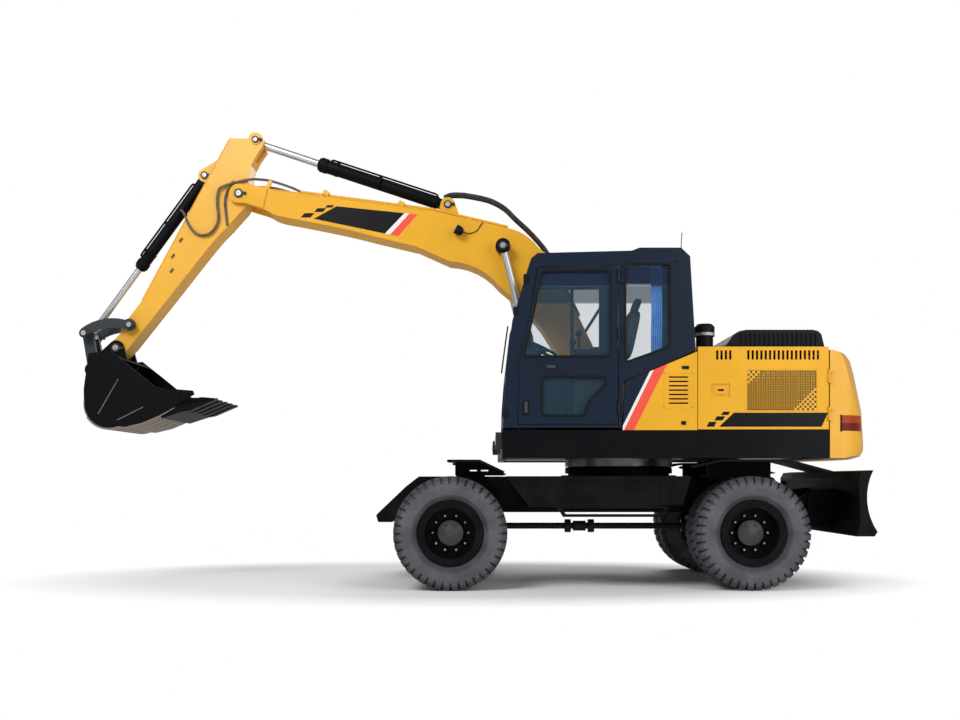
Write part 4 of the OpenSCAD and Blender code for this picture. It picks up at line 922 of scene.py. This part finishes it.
# Each pin's body, side-view place, distance from the middle of the boom, and radius
PINS = [
    ("boom", STICK_PIN, 190, 46),
    ("boom", on_boom([(2393, 987, 0)])[0][[0, 2]], 91, 40),
    ("boom", on_boom([(1666, 858, 0)])[0][[0, 2]], 296, 44),
    ("stick", on_stick([(-543, 228, 0)])[0][[0, 2]], 144, 36),
    ("stick", on_stick([(69, 429, 0)])[0][[0, 2]], 87, 38),
    ("tipping_link", (5035.8, 2619.5), 206, 40),
    ("tipping_link", BUCKET_CYL[1], 206, 40),
    ("bucket", BUCKET_PIN, 174, 46),
    ("bucket", (5434.6, 2162.0), 174, 42),
    ("house", FOOT, 214, 60),
    ("house", BOOM_CYL[0], 323, 40),
]
for body in sorted({pin[0] for pin in PINS}):
    spots = [
        (x, z, BOOM_Y + out * y, r, out)
        for owner, (x, z), y, r in PINS if owner == body for out in (-1, 1)
    ]
    add(f"pin_ends_{body}", joined(*[pin_end(*spot) for spot in spots]), link_grey, body)
    add(f"pin_faces_{body}", joined(*[pin_face(*spot) for spot in spots]), pin_steel, body)

# Cylinders

def gland(line, y, r, rod_r, length):
    """The head of a barrel: a stepped collar behind its end, and a wiper ring where the rod comes out."""
    collar = [
        (r - 2, length - 215), (r + 6, length - 211), (r + 6, length - 180), (r + 3, length - 176),
        (r + 3, length - 96), (r - 2, length - 94),
    ]
    wiper = [
        (rod_r - 3, length - 4), (rod_r + 14, length - 3),
        (rod_r + 14, length + 7), (rod_r - 1, length + 14),
    ]
    return joined(round_on(*line, y, collar), round_on(*line, y, wiper))


def oil_pipe(line, y, r, length, up):
    """A thin pipe from a port near the barrel's foot to the head, with a clip round the barrel."""
    high = up * (r + 13)
    low = up * (r - 8)
    path = beside(*line, y, [
        (135, low), (140, high - up * 6), (170, high), (260, high), (length * 0.5, high),
        (length - 190, high), (length - 150, high), (length - 122, high - up * 6), (length - 117, low),
    ])
    start = length * 0.52
    clip = [(r - 2, start), (r + 4, start + 1), (r + 4, start + 34), (r - 2, start + 35)]
    return joined(tube(smooth_path(path, 64), 10), round_on(*line, y, clip))


add("stick_barrel_trim", joined(
    gland(STICK_CYL, BOOM_Y, 66, 38, 1413), oil_pipe(STICK_CYL, BOOM_Y + 20, 66, 1413, 1)),
    black_paint, "stick_barrel")
add("bucket_barrel_trim", joined(
    gland(BUCKET_CYL, BOOM_Y, 57, 32, 1180), oil_pipe(BUCKET_CYL, BOOM_Y + 20, 57, 1180, 1)),
    black_paint, "bucket_barrel")
eye = lathe([(66, -93), (74.5, -92), (74.5, 1), (70, 3), (40, 3)], (0, 1, 0), 48)
eye_x, eye_z = BOOM_CYL[1]
add("rod_eye_trim", joined(
    moved(eye, (eye_x, BOOM_Y + 295, eye_z)), moved(other_side(eye), (eye_x, BOOM_Y - 295, eye_z))),
    black_paint, "boom_rods")
boom_trim = []
for y in (BOOM_Y - 250, BOOM_Y + 250):
    boom_trim += [gland(BOOM_CYL, y, 62, 37, 1200), oil_pipe(BOOM_CYL, y, 62, 1200, -1)]
add("boom_barrel_trim", joined(*boom_trim), black_paint, "boom_barrels")

# Boom and stick

# Each clamp's place along and above the foot, half length, half height, and reach from the middle
CLAMPS = [(4085, 232, 20, 50, 138, 158), (3532, 452, 32, 26, 82, 152), (2802, 742, 32, 26, 82, 152)]
clamps = []
for along, up, half, high, near, far in CLAMPS:
    corners = rounded([
        (along - half, up - high), (along + half, up - high),
        (along + half, up + high), (along - half, up + high),
    ], 8, 4)
    for out in (-1, 1):
        clamps.append(turned_plate(on_boom, corners, BOOM_Y + out * near, BOOM_Y + out * far))
add("boom_clamps", joined(*clamps), yellow_paint, "boom")

LOWER_EDGE = [(4180, -50), (4000, -10), (3850, 2), (3610, 82), (3189, 220), (2800, 332), (2450, 434)]
UPPER_EDGE = [(2520, 819), (2950, 646), (3380, 468), (3765, 313), (4030, 204)]
STICK_BACK = [(-380, 442), (150, 350), (700, 251), (1150, 169), (1481, 110)]
STICK_FRONT = [(79, -120), (320, -105), (571, -87), (1200, -89), (1960, -91)]


def beads(place, edges, half):
    """Weld beads along side-view edges, on both sides of a member."""
    lines = []
    for edge in edges:
        for out in (-1, 1):
            path = place([(along, up, BOOM_Y + out * half) for along, up in edge])
            lines.append(tube(smooth_path(path, 60), 6, 8))
    return joined(*lines)


clips = []
for along, up in ((745, 182), (926, 144), (1050, 60)):
    corners = [(along - 26, up - 9), (along + 26, up - 9), (along + 26, up + 9), (along - 26, up + 9)]
    clips.append(turned_plate(on_stick, rounded(corners, 5, 3), BOOM_Y + 128, BOOM_Y + 142))
add("stick_clips", joined(*clips), worn_paint, "stick")
add("boom_beads", beads(on_boom, [LOWER_EDGE, UPPER_EDGE], 169), yellow_paint, "boom")
add("stick_beads", beads(on_stick, [STICK_BACK, STICK_FRONT], 129), yellow_paint, "stick")

# Bucket

TURN = np.radians(np.linspace(-112, 8, 25))
HEEL = np.stack([np.cos(TURN), np.sin(TURN)], -1)
HEEL_AT = (-45, -600)
wear = [(-700, -640), (-557, -720), (-380, -795), (-203, -838)]
wear += [tuple(p) for p in HEEL_AT + 246 * HEEL]
trim = []
for out in (-1, 1):
    y = BOOM_Y + out * BUCKET_SIDE_Y
    line = from_bucket([(along, up, y) for along, up in wear])
    trim.append(tube(line, 6, 8))
    for ends in (((-139, -353), (61, -702)), ((-129, -762), (-388, -632))):
        trim.append(tube(from_bucket([(along, up, y) for along, up in ends]), 5, 8))
add("bucket_welds", joined(*trim), weld_metal, "bucket")
floor_line = [(-640, -674), (-557, -720), (-380, -795), (-203, -838)]
floor_line += [tuple(p) for p in HEEL_AT + 252 * HEEL[:17]]
STRIP = [(-7, -92), (4, -92), (4, 92), (-7, 92)]
strips = []
for y in (-418, -209, 0, 209, 418):
    line = from_bucket([(along, up, BOOM_Y + y) for along, up in floor_line])
    strips.append(swept(line, STRIP))
add("bucket_wear", joined(*strips), worn_floor, "bucket")
SIDE_EDGE = [(-80, -95), (-247, -226), (-491, -424), (-602, -468), (-700, -468)]
edges = []
for out in (-1, 1):
    y = BOOM_Y + out * (BUCKET_SIDE_Y - 1)
    edges.append(tube(from_bucket([(along, up, y) for along, up in SIDE_EDGE]), 7, 8))
cutter_bolts = []
for along in (-660, -760):
    for out in (-1, 1):
        bolt = lathe([(15, -3), (15, 9), (11, 13)], (0, out, 0), 6)
        cutter_bolts.append(moved(bolt, from_bucket([(along, -520, BOOM_Y + out * (BUCKET_SIDE_Y + 6))])[0]))
add("bucket_trim", joined(*edges, *cutter_bolts), black_paint, "bucket")

# Slew ring

RING_BOLTS = 44
RING_TOP = 1137.0
spots = np.column_stack([ring(536, RING_BOLTS), np.full(RING_BOLTS, RING_TOP)])
ring_bolt = lathe([(11, -3), (11, 14), (8, 18)], (0, 0, 1), 6)
add("ring_bolts", copies(ring_bolt, spots), cast_parts, "chassis")

# House

# The grille is a lattice of bars with filled cells, as a checker, at two of its corners
count_x, count_z = 29, 17
BAR = 5.5
CELL = 23
SHEET_Y = 1226.5
SHEET_OUT_Y = 1231
start_x = GRILLE_X[0] + 22.7 * np.arange(count_x)
start_z = GRILLE_Z[0] + 22.8 * np.arange(count_z)
upright = [(x, SHEET_Y, GRILLE_Z[0]) for x in start_x]
level = [(GRILLE_X[0], SHEET_Y, z) for z in start_z]
lows = upright + level
highs = [(x + BAR, SHEET_OUT_Y, GRILLE_Z[1]) for x in start_x]
highs += [(GRILLE_X[1], SHEET_OUT_Y, z + BAR) for z in start_z]
for i in range(count_x - 1):
    for j in range(count_z - 1):
        from_front = count_x - 2 - i + count_z - 2 - j
        if (from_front < 6 or i + j < 9) and (i + j) % 2 == 0:
            lows.append((start_x[i], SHEET_Y, start_z[j]))
            highs.append((start_x[i] + CELL, SHEET_OUT_Y - 0.5, start_z[j] + CELL))
sheet = bars(lows, highs)
latch = plate(rounded([(-826, 1812), (-730, 1812), (-730, 1890), (-826, 1890)], 12), 1220, 1232)
grip = plate(rounded([(-806, 1842), (-750, 1842), (-750, 1860), (-806, 1860)], 8), 1230, 1238)
for side, turn in (("left", lambda shape: shape), ("right", other_side)):
    add(f"grille_{side}", turn(sheet), yellow_paint, f"{side}_door")
    add(f"latch_{side}", turn(latch), yellow_paint, f"{side}_door")
    add(f"latch_grip_{side}", turn(grip), black_plastic, f"{side}_door")

frame_low = [(-521, 1232, 1687), (-521, 1232, 2003), (-521, 1232, 1687), (-260, 1232, 1687)]
frame_high = [(-253, 1238, 1694), (-253, 1238, 2010), (-514, 1238, 2010), (-253, 1238, 2010)]
lips_low = [(-481, 1231, 1737 + 40 * i) for i in range(7)]
lips_high = [(-298, 1243, 1743 + 40 * i) for i in range(7)]
add("louvre_frame", bars(frame_low + lips_low, frame_high + lips_high), yellow_paint, "house")
add("panel_latches", joined(
    plate(rounded([(-486, 2044), (-421, 2044), (-421, 2073), (-486, 2073)], 8), 1232, 1244),
    plate(rounded([(-458, 1532), (-415, 1532), (-415, 1566), (-458, 1566)], 8), 1232, 1244)),
    black_plastic, "house")
band = moved(lathe([(93, 132), (96, 134), (96, 160), (93, 162)], (0, 0, 1), 48), (-690, 950, 2250))
add("cleaner_band", band, pin_steel, "house")
tail_frames = bars([(-1891, 1234, 1470), (-1891, -1240, 1470)], [(-1877, 1240, 1624), (-1877, -1234, 1624)])
add("tail_frames", tail_frames, black_plastic, "house")
head_lens = lathe([(46, -3), (46, 2), (40, 6), (3, 8)], (1, 0, 0), 40)
add("head_lenses", joined(*[moved(head_lens, (1290, out * 1090, 1388)) for out in (-1, 1)]), lamp_lens,
    "house")
beam = on_boom([(2174, 779, BOOM_Y + 230), (2274, 779, BOOM_Y + 230)])
work_lens = moved(lathe([(43, -3), (43, 2), (36, 6), (3, 8)], beam[1] - beam[0], 40), beam[0])
add("work_lens", work_lens, lamp_lens, "boom")

# Cab

UPPER_WINDOW = [(232, 655), (1035, 655), (940, 1060), (880, 1440), (232, 1448)]
LOWER_WINDOW = [(866, 110), (866, 470), (275, 470), (275, 400), (430, 250), (470, 110)]
REAR_WINDOW = [(100, 600), (100, 1505), (-315, 1505), (-315, 745)]
SEAL = [(-11, -3), (11, -3), (11, 2), (8, 4), (-8, 4), (-11, 2)]


def seal(corners, y):
    """A rubber strip round a window: a low flat section carried round the rounded outline."""
    outline = rounded(corners, 36) + (0, CAB_Z)
    return swept(at_y(outline, y), SEAL, (0, 1, 0), True)


add("door_seals", joined(seal(UPPER_WINDOW, CAB_OUT_Y), seal(LOWER_WINDOW, CAB_OUT_Y)), black_plastic,
    "cab_door")
add("rear_window_seal", seal(REAR_WINDOW, CAB_OUT_Y), black_plastic, "house")

handle = plate(rounded([(985, 1618), (1040, 1618), (1040, 1765), (985, 1765)], 12), 1228, 1238)
add("door_handle", handle, black_plastic, "cab_door")
# The grip is lighter grey than the black handle: a painted highlight along it
grip = plate(rounded([(998, 1640), (1024, 1640), (1024, 1742), (998, 1742)], 10), 1236, 1244)
add("handle_grip", grip, hub_grey, "cab_door")
pull = plate(rounded([(738, 2054), (818, 2054), (818, 2080), (738, 2080)], 12.9), 1227, 1234)
add("door_pull", pull, hub_grey, "cab_door")
clip_spots = [(1018, 2880), (1112, 2580), (1204, 1640)]
pillar_clips = [
    plate(rounded([(x - 26, z - 36), (x + 18, z - 36), (x + 18, z + 36), (x - 26, z + 36)], 8, 4), 1205, 1246)
    for x, z in clip_spots]
roof_bolt = moved(lathe([(14, -3), (14, 4), (9, 8)], (0, 1, 0), 24), (-375, CAB_OUT_Y, 3037))
add("pillar_clips", joined(*pillar_clips, roof_bolt), black_plastic, "house")
blade_path = [
    (1232, 1030, CAB_Z + 520), (1228, 1032, CAB_Z + 560),
    (1202, 1040, CAB_Z + 760), (1174, 1046, CAB_Z + 960),
]
mast = [(-440, 1100, 3180), (-441, 1100, 3230), (-444, 1100, 3280), (-448, 1100, 3330)]
add("wiper", tube(smooth_path(blade_path, 24), 7, 10), black_plastic, "house")
add("antenna", tube(mast, 4, 10), black_plastic, "house")
add("right_post", bars([(488, 256, 2120)], [(520, 272, 2980)]), navy_paint, "house")

seat_z = CAB_Z + 570
cushion = pad((240, 746, seat_z + 57), (230, 228, 54), 0.45)
rest = pad((0, 746, seat_z + 340), (58, 218, 236), 0.42, -12.5)
headrest = pad((-69, 746, seat_z + 625), (34, 128, 66), 0.5, -20)
seat_pads = add("seat_pads", joined(cushion, rest, headrest), seat_fabric, "house", 80)
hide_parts("seat")


def pleats(x0, x1, y, z0, z1, folds, depth):
    """Gathered cloth: x runs along the rail, y is a sine of it that deepens downwards, and z hangs."""
    across = np.linspace(0, 1, folds * 16 + 1)
    down = np.linspace(0, 1, 40)[:, None]
    swell = depth * (0.55 + 0.45 * down)
    x = x0 + (x1 - x0) * across + 2 * np.sin(9 * down)
    fold = y + swell * np.sin(math.tau * folds * across)
    z = np.broadcast_to(z1 + (z0 - z1) * down, fold.shape)
    points = np.stack([np.broadcast_to(x, fold.shape), fold, z], -1)
    return points, (points.reshape(-1, 3), [grid(points)])


cloth, curtain_shape = pleats(-253, -152, 1150, CAB_Z + 692, CAB_Z + 1509, 5, 13)
curtain = add("blue_curtain", curtain_shape, curtain_fabric, "house", 180)
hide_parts("curtain")
